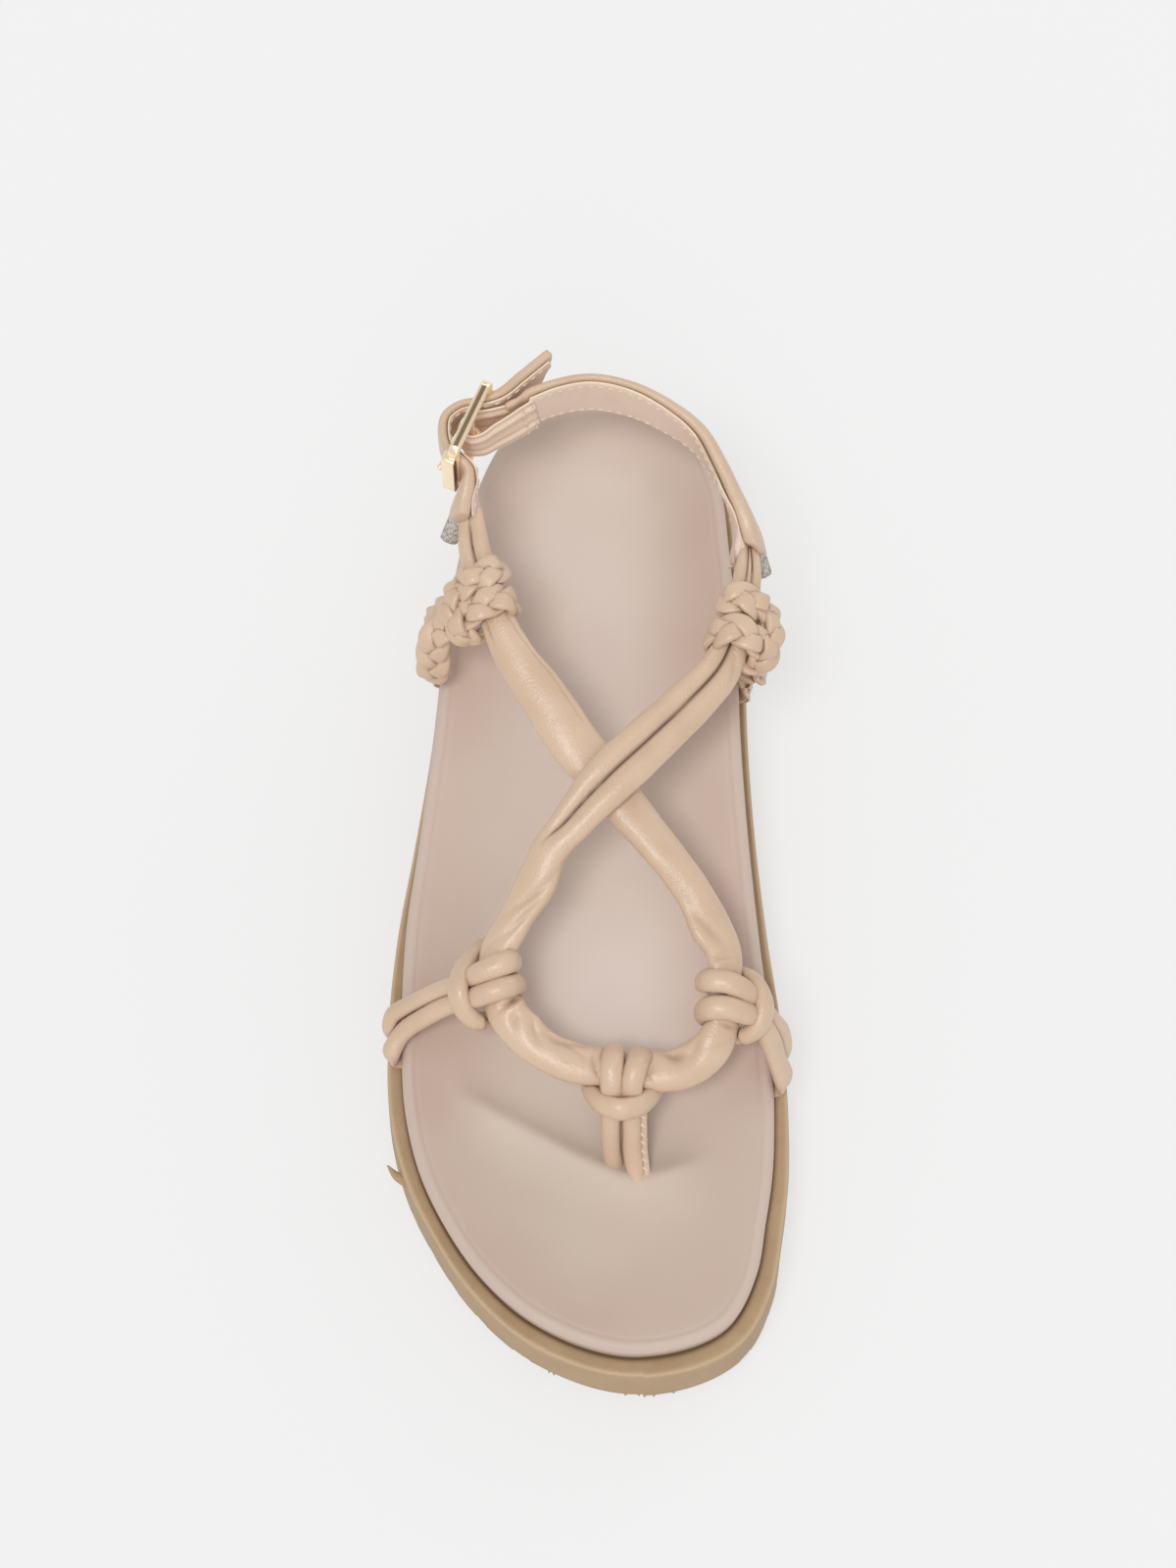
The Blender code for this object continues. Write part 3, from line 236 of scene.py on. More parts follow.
# Cords tied to the main strap, each from one end through its lark's head knot to the other
# The end nearer to the toe is first, or the lateral one. Columns: x, y, z, half_width, half_thick
BALL_CORD_LATERAL = (
    (-47.0, -45.0, 30.5, 2.5, 2.1),
    (-40.2, -41.7, 36.5, 2.5, 2.2),
    (-35.2, -40.5, 41.0, 2.5, 2.2),
    (-31.0, -40.1, 44.4, 2.5, 2.2),
    (-26.8, -40.3, 49.2, 2.8, 2.2),
    (-22.9, -39.3, 50.9, 3.0, 2.2),
    (-19.8, -38.3, 50.8, 3.0, 2.2),
    (-17.7, -36.4, 46.6, 2.9, 2.2),
    (-17.7, -36.5, 43.4, 2.6, 2.2),
    (-19.7, -37.9, 41.6, 2.4, 2.1),
    (-22.6, -41.1, 40.4, 2.3, 2.1),
    (-25.0, -43.8, 41.0, 2.3, 2.1),
    (-27.6, -45.1, 43.6, 2.5, 2.2),
    (-30.5, -43.2, 46.4, 2.8, 2.2),
    (-32.1, -38.9, 48.8, 2.9, 2.2),
    (-31.3, -33.7, 47.6, 2.8, 2.2),
    (-28.9, -28.9, 45.4, 2.4, 2.1),
    (-25.8, -25.6, 43.0, 2.3, 2.1),
    (-22.4, -25.4, 42.4, 2.3, 2.1),
    (-20.0, -27.5, 43.4, 2.5, 2.1),
    (-18.7, -30.1, 46.6, 2.9, 2.2),
    (-20.0, -32.8, 52.8, 3.0, 2.2),
    (-23.2, -34.0, 52.6, 3.0, 2.2),
    (-26.8, -35.1, 51.1, 2.8, 2.2),
    (-30.8, -35.6, 45.6, 2.5, 2.2),
    (-35.3, -36.0, 42.0, 2.4, 2.2),
    (-40.3, -36.9, 37.4, 2.4, 2.2),
    (-44.5, -38.0, 33.8, 2.4, 2.2),
    (-48.8, -39.9, 30.8, 2.4, 2.1),
)
BALL_CORD_MEDIAL = (
    (47.1, -51.6, 32.0, 3.2, 2.0),
    (45.2, -48.0, 37.0, 3.2, 2.6),
    (43.2, -45.7, 41.6, 2.9, 2.4),
    (41.4, -44.5, 45.6, 2.7, 2.2),
    (38.4, -44.5, 48.7, 3.0, 2.2),
    (34.0, -43.7, 50.4, 3.1, 2.2),
    (30.4, -43.6, 49.9, 3.1, 2.2),
    (28.3, -43.4, 46.0, 2.9, 2.2),
    (29.1, -43.8, 42.6, 2.6, 2.2),
    (32.5, -45.3, 40.8, 2.3, 2.1),
    (36.4, -48.0, 41.2, 2.3, 2.1),
    (39.5, -48.6, 43.4, 2.4, 2.2),
    (42.1, -47.0, 45.4, 2.6, 2.2),
    (43.5, -43.4, 46.8, 2.7, 2.2),
    (42.6, -38.5, 46.6, 2.7, 2.2),
    (40.5, -34.5, 44.6, 2.4, 2.1),
    (37.0, -32.4, 41.8, 2.3, 2.1),
    (32.9, -31.8, 40.9, 2.3, 2.1),
    (29.7, -33.4, 42.6, 2.5, 2.1),
    (28.6, -35.6, 46.4, 2.9, 2.2),
    (30.4, -37.1, 51.2, 3.0, 2.2),
    (34.0, -37.6, 51.7, 3.0, 2.2),
    (37.9, -38.9, 50.3, 2.9, 2.2),
    (41.4, -40.5, 45.8, 2.6, 2.2),
    (43.5, -41.6, 42.0, 2.5, 2.2),
    (45.8, -43.0, 37.5, 2.5, 2.2),
    (48.4, -44.7, 31.5, 2.8, 2.1),
)
TOE_POST_CORD = (
    (6.6, -76.5, 21.0, 2.4, 1.9),
    (6.4, -76.3, 26.5, 2.4, 2.0),
    (5.8, -73.9, 31.5, 2.4, 2.2),
    (5.6, -70.8, 36.5, 2.4, 2.2),
    (5.7, -67.5, 40.2, 2.5, 2.2),
    (5.9, -64.2, 43.5, 2.8, 2.2),
    (5.8, -61.1, 46.4, 2.9, 2.2),
    (6.0, -56.9, 47.3, 2.9, 2.2),
    (6.3, -52.9, 43.4, 2.8, 2.2),
    (6.3, -52.3, 39.6, 2.6, 2.2),
    (5.3, -54.2, 37.6, 2.4, 2.1),
    (2.9, -56.9, 37.2, 2.3, 2.1),
    (0.5, -59.7, 38.4, 2.3, 2.1),
    (1.2, -63.2, 40.8, 2.6, 2.2),
    (3.9, -66.5, 43.4, 2.8, 2.2),
    (7.9, -68.1, 44.8, 2.9, 2.2),
    (12.3, -66.8, 43.6, 2.8, 2.2),
    (15.5, -63.5, 41.0, 2.6, 2.2),
    (16.7, -60.3, 38.6, 2.3, 2.1),
    (14.8, -57.4, 37.4, 2.3, 2.1),
    (12.9, -55.3, 37.9, 2.4, 2.1),
    (13.3, -53.3, 40.4, 2.6, 2.2),
    (13.0, -54.1, 44.0, 2.9, 2.2),
    (11.8, -57.8, 47.3, 2.9, 2.2),
    (10.8, -61.3, 46.4, 2.9, 2.2),
    (10.6, -64.2, 43.4, 2.8, 2.2),
    (10.6, -67.5, 40.2, 2.5, 2.2),
    (10.8, -70.8, 36.5, 2.4, 2.2),
    (11.0, -74.9, 31.5, 2.4, 2.1),
    (11.8, -79.1, 27.6, 2.2, 1.7),
    (12.7, -83.8, 24.8, 1.5, 1.0),
)
BRAID_MEDIAL = (
    (42.4, 48.4, 37.5, 2.4, 1.9),
    (43.4, 48.2, 45.0, 2.8, 2.0),
    (44.3, 47.4, 53.0, 3.2, 2.2),
    (44.4, 46.2, 60.0, 3.5, 2.2),
    (43.4, 45.2, 66.4, 3.8, 2.3),
    (40.9, 45.5, 71.8, 4.0, 2.3),
    (36.9, 47.3, 73.4, 4.1, 2.3),
    (33.3, 47.0, 72.8, 4.1, 2.3),
    (31.2, 47.2, 68.4, 4.0, 2.3),
    (32.8, 46.6, 64.6, 3.6, 2.2),
    (36.7, 43.9, 62.6, 3.2, 2.1),
    (40.0, 42.0, 63.8, 3.3, 2.1),
    (42.8, 41.6, 65.6, 3.5, 2.2),
    (45.0, 43.2, 67.2, 3.5, 2.3),
    (45.6, 46.4, 68.2, 3.5, 2.3),
    (45.8, 50.8, 68.4, 3.5, 2.3),
    (44.1, 55.6, 67.0, 3.4, 2.2),
    (41.5, 58.8, 64.4, 3.2, 2.1),
    (38.1, 59.1, 63.0, 3.2, 2.1),
    (35.3, 57.6, 64.8, 3.5, 2.2),
    (34.2, 56.4, 69.0, 4.0, 2.3),
    (35.8, 55.3, 73.7, 4.1, 2.3),
    (39.0, 55.4, 74.1, 4.1, 2.3),
    (41.9, 53.9, 73.1, 4.0, 2.3),
    (43.5, 53.4, 67.4, 3.6, 2.3),
    (43.6, 53.8, 60.5, 3.3, 2.2),
    (43.6, 53.4, 52.0, 2.8, 2.1),
    (42.4, 53.2, 43.0, 2.4, 1.9),
)
BRAID_LATERAL = (
    (-39.9, 48.4, 40.0, 3.4, 2.0),
    (-39.3, 46.9, 45.5, 4.3, 2.2),
    (-39.0, 47.7, 52.0, 4.4, 2.2),
    (-38.8, 49.8, 58.5, 4.4, 2.2),
    (-35.9, 52.0, 63.4, 4.2, 2.2),
    (-32.1, 53.0, 66.4, 4.1, 2.3),
    (-28.3, 53.6, 70.7, 4.1, 2.3),
    (-24.4, 55.3, 72.2, 4.1, 2.3),
    (-21.2, 56.1, 71.8, 4.1, 2.3),
    (-19.6, 56.8, 66.8, 4.0, 2.3),
    (-21.4, 56.5, 62.8, 3.6, 2.2),
    (-24.6, 53.2, 61.2, 3.2, 2.1),
    (-27.2, 50.0, 62.0, 3.3, 2.1),
    (-30.1, 48.8, 64.2, 3.5, 2.2),
    (-32.8, 50.4, 66.8, 3.6, 2.3),
    (-34.3, 54.8, 68.4, 3.6, 2.3),
    (-32.9, 60.1, 67.8, 3.6, 2.3),
    (-30.9, 64.8, 65.4, 3.4, 2.2),
    (-29.3, 68.1, 62.6, 3.2, 2.1),
    (-25.6, 68.7, 63.0, 3.5, 2.1),
    (-23.1, 66.6, 66.8, 4.0, 2.3),
    (-23.9, 63.1, 72.7, 4.1, 2.3),
    (-26.6, 61.4, 72.9, 4.1, 2.3),
    (-29.6, 59.5, 71.7, 4.0, 2.3),
    (-32.4, 58.8, 66.4, 3.6, 2.3),
    (-35.2, 58.0, 62.4, 3.2, 2.2),
    (-38.0, 57.9, 57.5, 2.9, 2.1),
    (-39.3, 58.4, 51.0, 2.7, 2.0),
    (-39.8, 58.8, 45.0, 2.5, 1.9),
)
CORD_STEPS = 14
# Flattened cord ends between footbed and sole, then up the wall and out over the rim
# Columns: out from the footbed's wall, height, share of the way to the cord's full thickness
TAB_THICK, TAB_BED = 0.9, 0.25
TAB = ((-7.0, 0.0, 0.0), (-0.2, 0.0, 0.0), (1.9, 1.3, 0.12))
TAB_CLIMB, TAB_OVER, TAB_LEAN = 4.2, 0.3, 0.3
# Where the two ends of a cord go in, along the foot
TUCKS = {
    "ball_cord_lateral": (-48.4, -42.6),
    "ball_cord_medial": (-55.2, -48.4),
    "braid_lateral": (53.4, 59.6),
    "braid_medial": (48.4, 53.2),
}
# A cord lies flat on the footbed's wall at its ends, and faces up and away from the strap from this length on
ROUND_STRAP_FROM, CORD_FACES_UP, FACING_BLUR = 16.0, 1.1, 12
# The first leg of the lateral plait faces the toe: the way it faces, and the lengths over which it turns
PLAIT_FACES, PLAIT_TURN_FROM, PLAIT_TURN_TO = {"braid_lateral": (-0.15, -1.0, 0.75)}, 22.0, (42.0, 52.0)
POST_SEAM_FROM, POST_SEAM_OUT, POST_SEAM_HALVES = 26, 1.1, (1.2, 0.55)
POST_STITCH, POST_STITCH_PITCH, POST_STITCH_LIFT, POST_STITCH_SLANT = (2.2, 0.34), 2.5, 0.45, 1.1
STRAND_LENGTH = 21.0  # a strand comes back to the same side of its braid after this length
STRAND_HALF, STRAND_SQUARE = (2.15, 1.1), 0.6
STRAND_RISE, STRAND_LEAST_SWAY = 1.15, 0.6
BRAID_HALF_THICK = 2.3

# Heel strap: padded leather outside, lining inside. Columns: x, y, z, half_height, half_thick, lean
HEEL_STRAP = (
    (36.6, 83.7, 70.6, 7.0, 2.3, 10.0),
    (33.0, 91.1, 72.0, 7.0, 2.2, 8.0),
    (28.3, 98.5, 73.5, 7.0, 2.0, 4.0),
    (20.0, 104.8, 74.5, 7.0, 1.7, -2.0),
    (10.1, 109.5, 75.0, 7.0, 1.45, -6.0),
    (0.0, 111.2, 75.1, 7.1, 1.4, -7.0),
    (-7.6, 109.8, 75.2, 7.0, 1.45, -7.0),
    (-15.5, 106.6, 75.2, 6.7, 1.5, -7.0),
)
HEEL_LEATHER_START = (
    (41.9, 70.2, 68.0, 4.6, 2.0, 20.0),
    (40.7, 73.6, 69.2, 6.0, 2.5, 15.0),
    (39.1, 78.2, 69.9, 6.8, 2.4, 12.0),
)
HEEL_LEATHER_END = ((-18.6, 105.2, 79.0, 2.8, 1.3, 0.0), (-20.6, 104.0, 80.4, 1.4, 0.9, 0.0))
HEEL_LINING_START = (
    (38.4, 67.6, 66.0, 4.0, 1.2, -14.0),
    (38.6, 72.0, 68.2, 5.6, 1.5, -8.0),
    (38.2, 77.4, 69.7, 6.6, 1.9, 0.0),
)
BAND_STEPS = 24
# Leather and lining of heel and buckle strap: where the layer's middle lies, and its half thickness
# Each is a share of the strap's half thickness and an amount
HEEL_LEATHER, HEEL_LINING = ((0.25, 0.0), (0.9, 0.0)), ((-0.66, -0.3), (0.0, 0.5))
BUCKLE_LEATHER, BUCKLE_LINING = ((0.3, 0.0), (0.82, 0.0)), ((-0.52, -0.2), (0.0, 0.45))
HEEL_LEATHER_ENDS, HEEL_LINING_ENDS = (2.0, 1.4), (1.0, 1.0)
BUCKLE_LEATHER_ENDS, BUCKLE_LINING_ENDS = (0.9, 0.5), (0.8, 0.5)
LINING_EDGE = 0.4  # narrows the linings, mostly at the upper edge
BAND_CORNERS, LOOP_CORNERS = (0.5, 0.65), (0.5, 0.6)  # powers that square up a section
# Puckers at the linings' start: depth, fade length, swell, and strength of the painted shade in their folds
PUCKER_DEPTH, PUCKER_FADE, PUCKER_SWELL, PUCKER_SHADE = 0.35, 9.0, 1.3, 0.5
HEEL_START_SLANT, START_SLANT_LENGTH = 1.2, 7.0  # its outside reaches further than its inside
# Length over which a tip is drawn out, then where the painted highlight on the linings' upper edge begins, in
# height and along
TIP_LENGTH, HIGHLIGHT_EDGE, HIGHLIGHT_FROM = 9.0, 0.8, (10.0, 16.0)
# Stitches: length and radius, then heights from the edges and the lining's face, as a share and an amount
EDGE_STITCH, EDGE_STITCH_PITCH, EDGE_STITCH_START = (1.7, 0.24), 2.7, 3.0
HEEL_STITCH_HEIGHTS, HEEL_STITCH_FACE, HEEL_STITCH_START = (2.2, -1.3), (-0.66, -0.76), 14.0
BUCKLE_STITCH_HEIGHTS, BUCKLE_STITCH_FACE, BUCKLE_STITCH_END = (1.9, -1.5), (-0.52, -0.62), 1.2
ANKLE = (4.0, 85.0)

# Buckle, in its own frame: along runs from the roller to the rear bar, out points away from the ankle
BUCKLE_CENTRE, BUCKLE_HEADING = (-29.4, 99.1, 75.0), (0.400, 0.916)
BUCKLE_HALF_LENGTH, BUCKLE_HALF_HEIGHT, BUCKLE_RAISE, BUCKLE_CORNER = 10.2, 9.6, 1.4, 3.0
FRAME_HEIGHT, FRAME_THICK, FRAME_BEVEL = 2.4, 2.6, 0.55
FRAME_GROOVE_INSET, FRAME_GROOVE_DEPTH, FRAME_GROOVE_SHADE = 0.35, 0.2, 0.8
SHARP_EDGE, SMOOTH_BELOW = math.radians(50), math.radians(40)
BAR_RADIUS = 1.0
ROLLER_CENTRE, ROLLER_HALVES, ROLLER_BEVEL, ROLLER_DARK = (-11.0, 0.0, 0.7), (1.6, 8.8, 1.9), 0.6, 0.9
PRONG_RADIUS, PRONG_HOOK, PRONG_GAP = 0.8, (-120, 100), 0.1
PRONG_WAY = ((-5.0, 2.6), (-9.0, 3.3), (-11.9, 3.7))
# Strap through the buckle. Columns: along, out, z, half_height, half_thick, lean
BUCKLE_STRAP = (
    (-12.8, -5.1, 72.3, 6.2, 2.6, 8.0),
    (-9.9, -4.0, 72.9, 6.4, 2.0, 4.0),
    (-8.1, -1.4, 73.5, 6.4, 1.5, 0.0),
    (-7.0, 2.5, 74.0, 6.4, 1.4, 0.0),
    (-3.8, 5.4, 74.6, 6.4, 1.6, 0.0),
    (0.2, 6.6, 75.0, 6.4, 1.6, 0.0),
    (3.8, 4.8, 75.3, 6.4, 1.5, 0.0),
    (6.9, 0.6, 75.6, 6.4, 1.5, 0.0),
    (10.6, -3.5, 76.0, 6.4, 1.8, 0.0),
    (17.0, -6.3, 75.8, 6.4, 1.9, 2.0),
    (24.8, -10.1, 76.4, 6.3, 1.9, 2.0),
)
BUCKLE_STRAP_TIPS = (0.0, 1.7), (-1.5, 1.7)  # leather and lining
BUCKLE_LEATHER_START = ((-20.8, -6.3, 69.9, 5.0, 2.5, 20.0), (-17.0, -5.7, 71.2, 5.8, 2.8, 14.0))
BUCKLE_LINING_START = ((-19.4, -9.2, 69.8, 4.4, 1.6, -18.0), (-16.0, -7.4, 71.6, 5.6, 2.0, -10.0))
# Loop round the centre bar, both ends sewn to the heel strap. Columns: along, out, lean
BUCKLE_LOOP = (
    (11.0, -8.8, -10.0),
    (9.4, -7.6, -9.0),
    (6.0, -3.4, -6.0),
    (3.4, 0.6, -3.0),
    (0.6, 2.6, 0.0),
    (-2.0, 1.4, 0.0),
    (-2.6, -1.0, 0.0),
    (-1.2, -3.6, 4.0),
    (2.0, -5.8, 8.0),
    (6.0, -8.6, 11.0),
    (9.0, -10.5, 13.0),
    (12.2, -12.4, 12.0),
)
LOOP_HALF_HEIGHT, LOOP_HALF_THICK, LOOP_Z = 5.7, 0.65, 75.0
LOOP_RIBS, LOOP_RIB_DEPTH = 3.5, 0.22
LOOP_SEAM, LOOP_SEAM_REACH, LOOP_SEAM_COUNT = (1.0, 3.6), 4.6, 6  # rows from the end, half height, stitches
LOOP_STITCH, LOOP_STITCH_LIFT = (1.6, 0.26), 0.15

# Elastic at the lower outer corner of each strap end: centre, and the way its long side points
ELASTIC_SIZE, ELASTIC_ROUND, ELASTIC_FACE = (2.2, 4.6, 7.4), 0.9, (0.0, -0.4, 1.0)
ELASTIC_ENDS = {
    "elastic_end_lateral": ((-34.0, 76.6, 67.0), (0.36, 0.61, 0.70)),
    "elastic_end_medial": ((43.1, 67.8, 66.0), (-0.30, 0.80, 0.45)),
}


# Curves


def spline(knots, values, at):
    """Cubic through the values at the knots, with slopes from the neighbours."""
    knots, values, at = np.asarray(knots, float), np.asarray(values, float), np.asarray(at, float)
    slopes = np.gradient(values, knots, axis=0)
    i = np.clip(np.searchsorted(knots, at, side="right") - 1, 0, len(knots) - 2)
    span = knots[i + 1] - knots[i]
    t = (at - knots[i]) / span
    if values.ndim == 2:
        t, span = t[:, None], span[:, None]
    start = (1 + 2 * t) * (1 - t) ** 2 * values[i] + t * (1 - t) ** 2 * span * slopes[i]
    end = t**2 * (3 - 2 * t) * values[i + 1] + t**2 * (t - 1) * span * slopes[i + 1]
    return start + end


def unit(vectors):
    vectors = np.asarray(vectors, float)
    return vectors / np.linalg.norm(vectors, axis=-1, keepdims=True)


def chords(points):
    """Running length along a line of points."""
    return np.concatenate([[0.0], np.cumsum(np.linalg.norm(np.diff(points, axis=0), axis=1))])


def smooth_rows(rows, steps):
    """A smooth line through rows of numbers, the first three a point, with steps samples from row to row."""
    rows = np.asarray(rows, float)
    knots = chords(rows[:, :3])
    at = np.interp(np.arange((len(rows) - 1) * steps + 1) / steps, np.arange(len(rows)), knots)
    return spline(knots, rows, at)


def rows_at(rows, share):
    """Rows of a table at shares of its length from 0 to 1."""
    place = np.clip(np.asarray(share, float), 0, 1) * (len(rows) - 1)
    low = np.minimum(place.astype(int), len(rows) - 2)
    part = (place - low)[:, None]
    return rows[low] * (1 - part) + rows[low + 1] * part


def evened(line):
    """The same line with its samples evenly spaced along it."""
    run = chords(line[:, :3])
    at = np.linspace(0, run[-1], len(line))
    return np.column_stack([np.interp(at, run, column) for column in line.T])


def soft_step(low, high, value):
    t = np.clip((np.asarray(value, float) - low) / (high - low), 0, 1)
    return t * t * (3 - 2 * t)


def section(name, along):
    """A column of the sole's table at any place along the foot, level beyond the first and last row."""
    table = np.array(SECTIONS)
    rows = table[:, 0]
    return spline(rows, table[:, SECTION_COLUMNS.index(name)], np.clip(along, rows[0], rows[-1]))


def foot_outline():
    """The footbed's outline from the toe by the lateral side to the heel and back, and its normals."""
    table = np.array(SECTIONS)
    lateral, medial = table[:, [1, 0]], table[:, [2, 0]]
    loop = np.vstack([[TOE_APEX], lateral, [HEEL_APEX], medial[::-1]])
    wrapped = np.vstack([loop[-3:], loop, loop[:4]])
    run = chords(wrapped)
    toe, heel, toe_again = run[3], run[3 + len(lateral) + 1], run[3 + len(loop)]
    steps = np.arange(SIDE_POINTS) / SIDE_POINTS
    steps = steps - END_DENSITY * np.sin(FULL_TURN * steps) / FULL_TURN
    at = np.concatenate([toe + (heel - toe) * steps, heel + (toe_again - heel) * steps])
    points = spline(run, wrapped, at)
    ahead = np.roll(points, -1, axis=0) - np.roll(points, 1, axis=0)
    return points, unit(np.column_stack([-ahead[:, 1], ahead[:, 0]]))


def by_side(name, points):
    """A column that the sole's table has for each side, at the points of the outline."""
    lateral, medial = (section(f"{name}_{side}", points[:, 1]) for side in ("lateral", "medial"))
    return np.where(np.arange(len(points)) <= len(points) // 2, lateral, medial)


def middle_line(points):
    """For each outline point the place on the foot's middle line that it shares with the point opposite."""
    opposite = np.roll(points[::-1], 1, axis=0)
    along = (points[:, 1] + opposite[:, 1]) / 2
    along = np.clip(along, TOE_APEX[1] + SPINE_MARGIN, HEEL_APEX[1] - SPINE_MARGIN)
    return np.column_stack([(section("lateral", along) + section("medial", along)) / 2, along])


# Meshes


def pick(made):
    """Selects one piece alone."""
    bpy.ops.object.select_all(action="DESELECT")
    made.select_set(True)
    bpy.context.view_layer.objects.active = made


def settle():
    """Puts the selected piece's place, turn and size into its mesh."""
    bpy.ops.object.transform_apply(location=True, rotation=True, scale=True)


def set_mark(made, name, values):
    """Gives each point of a piece a number that its finish reads."""
    made.data.attributes.new(name, "FLOAT", "POINT").data.foreach_set("value", values)


def wrap(name, around, along, place):
    """A piece rolled up from a grid.

    Place gives points in millimetres and named marks for u around and v along.
    """
    bpy.ops.object.select_all(action="DESELECT")
    bpy.ops.mesh.primitive_grid_add(x_subdivisions=around, y_subdivisions=along, size=1.0)
    made = bpy.context.object
    made.name = made.data.name = name
    flat = np.empty(len(made.data.vertices) * 3)
    made.data.vertices.foreach_get("co", flat)
    points, marks = place(flat[0::3] + 0.5, flat[1::3] + 0.5)
    made.data.vertices.foreach_set("co", (points * MM).ravel())
    for mark_name, values in marks.items():
        set_mark(made, mark_name, values)
    bpy.ops.object.mode_set(mode="EDIT")
    bpy.ops.mesh.select_all(action="SELECT")
    bpy.ops.mesh.remove_doubles(threshold=1e-6)
    bpy.ops.mesh.fill_holes(sides=0)
    bpy.ops.mesh.select_all(action="SELECT")
    bpy.ops.mesh.normals_make_consistent(inside=False)
    bpy.ops.object.mode_set(mode="OBJECT")
    bpy.ops.object.shade_smooth()
    return made


def join(pieces, name):
    """Several pieces made one."""
    bpy.ops.object.select_all(action="DESELECT")
    for made in pieces:
        made.select_set(True)
    bpy.context.view_layer.objects.active = pieces[0]
    bpy.ops.object.join()
    pieces[0].name = pieces[0].data.name = name
    return pieces[0]


def apply_modifier(made, kind, **settings):
    """Adds a modifier and applies it at once."""
    pick(made)
    step = made.modifiers.new(kind.lower(), kind)
    for name, value in settings.items():
        setattr(step, name, value)
    bpy.ops.object.modifier_apply(modifier=step.name)


def round_edges(made, width, segments):
    """Bevels a piece's sharp edges."""
    settings = dict(width=width * MM, segments=segments, limit_method="ANGLE", angle_limit=SHARP_EDGE)
    apply_modifier(made, "BEVEL", **settings)


def boxier(values, power):
    """Sines or cosines pushed out towards a rounded box, for powers below 1."""
    return np.sign(values) * np.abs(values) ** power


def tube(name, line, across, around, along, relief=None, round_ends=0.0, square=1.0):
    """A soft tube. Line holds points and half sizes, across its width directions.

    Relief gives an inward push and a mark of painted shade in creases for distances along the tube and angles
    round it. Round ends draw the last millimetres of both ends in, and square below 1 makes the section
    boxier.
    """
    path = line[:, :3]
    tangent = unit(np.gradient(path, axis=0))
    width = unit(across - tangent * np.sum(across * tangent, axis=1, keepdims=True))
    table = np.column_stack([path, width, np.cross(tangent, width), line[:, 3:5], chords(path)])

    def place(u, v):
        rows = rows_at(table, v)
        turn = FULL_TURN * u
        cos, sin = boxier(np.cos(turn), square), boxier(np.sin(turn), square)
        halves, run = rows[:, 9:11], rows[:, 11]
        if round_ends:
            near = np.minimum(run, table[-1, 11] - run) / round_ends
            halves = halves * np.sqrt(1 - (1 - np.clip(near, 0.02, 1)) ** 2)[:, None]
        wide, thick = rows[:, 3:6], rows[:, 6:9]
        points = rows[:, :3] + wide * (halves[:, 0] * cos)[:, None] + thick * (halves[:, 1] * sin)[:, None]
        marks = {"crease_shade": np.zeros(len(u))}
        if relief:
            out = unit(wide * (halves[:, 1] * cos)[:, None] + thick * (halves[:, 0] * sin)[:, None])
            push, marks["crease_shade"] = relief(run, turn, halves)
            points = points - out * push[:, None]
        return points, marks

    return wrap(name, around, along, place)


def strip(name, path, up, out, shape, around, along):
    """A flat strap.

    Shape gives, for u round its section and v along, distances up, out and along, and marks.
    """
    table = np.column_stack([path, up, out, unit(np.gradient(path, axis=0))])

    def place(u, v):
        rows = rows_at(table, v)
        *distances, marks = shape(u, v)
        points = rows[:, :3]
        for first, distance in zip((3, 6, 9), distances):
            points = points + rows[:, first:first + 3] * distance[:, None]
        return points, marks

    return wrap(name, around, along, place)


def end_share(path, v, lengths):
    """How full a strap's section is near its ends, which are rounded over the two lengths."""
    run = chords(path)
    at = v * run[-1]
    near = np.minimum(at / lengths[0], (run[-1] - at) / lengths[1])
    return np.sqrt(1 - (1 - np.clip(near, 0.03, 1)) ** 2)


def paint_crevice_shade(pieces, faint):
    """Marks how far each point of the pieces is shut in by surfaces close by, as painted shade that darkens
    seams and gaps.

    The faint pieces get only a share of it.
    """
    points, faces = [], []
    for made in pieces:
        start = len(points)
        points += [vertex.co[:] for vertex in made.data.vertices]
        faces += [[start + corner for corner in face.vertices] for face in made.data.polygons]
    tree = BVHTree.FromPolygons(points, faces)
    reach = CREVICE_REACH * MM
    for made in pieces:
        shut = np.zeros(len(made.data.vertices))
        for i, vertex in enumerate(made.data.vertices):
            normal = vertex.normal
            one = normal.orthogonal().normalized()
            two = normal.cross(one)
            start = vertex.co + normal * 0.04 * MM
            for way in (normal, *[0.6 * normal + 0.8 * side for side in (one, -one, two, -two)]):
                distance = tree.ray_cast(start, way, reach)[3]
                if distance is not None:
                    shut[i] += 0.2 * (1 - distance / reach)
        set_mark(made, "crevice_shade", shut * (CREVICE_FAINT if made in faint else 1.0))


def stitches(name, places, length, radius):
    """A row of stitches. Places holds a point, the way the thread runs and the surface's normal for each."""
    bpy.ops.object.select_all(action="DESELECT")
    bpy.ops.mesh.primitive_uv_sphere_add(segments=8, ring_count=6, radius=1.0)
    bpy.ops.object.shade_smooth()
    first = bpy.context.object
    made = []
    for point, way, normal in places:
        way, normal = unit(way), unit(normal)
        side = np.cross(normal, way)
        turn = np.column_stack([way * length / 2, side * radius, normal * radius])
        copy = bpy.data.objects.new(name, first.data.copy())
        bpy.context.scene.collection.objects.link(copy)
        copy.data.transform(Matrix.Translation(Vector(np.asarray(point) * MM)) @ Matrix(turn * MM).to_4x4())
        made.append(copy)
    bpy.data.objects.remove(first)
    return join(made, name)


def install(made, finish, slot, *nodes):
    """Gives a piece its material and its place in the frame."""
    made.data.materials.clear()
    made.data.materials.append(finish)
    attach(made, "root")
    if nodes:
        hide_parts(*nodes)
    return made


# Materials


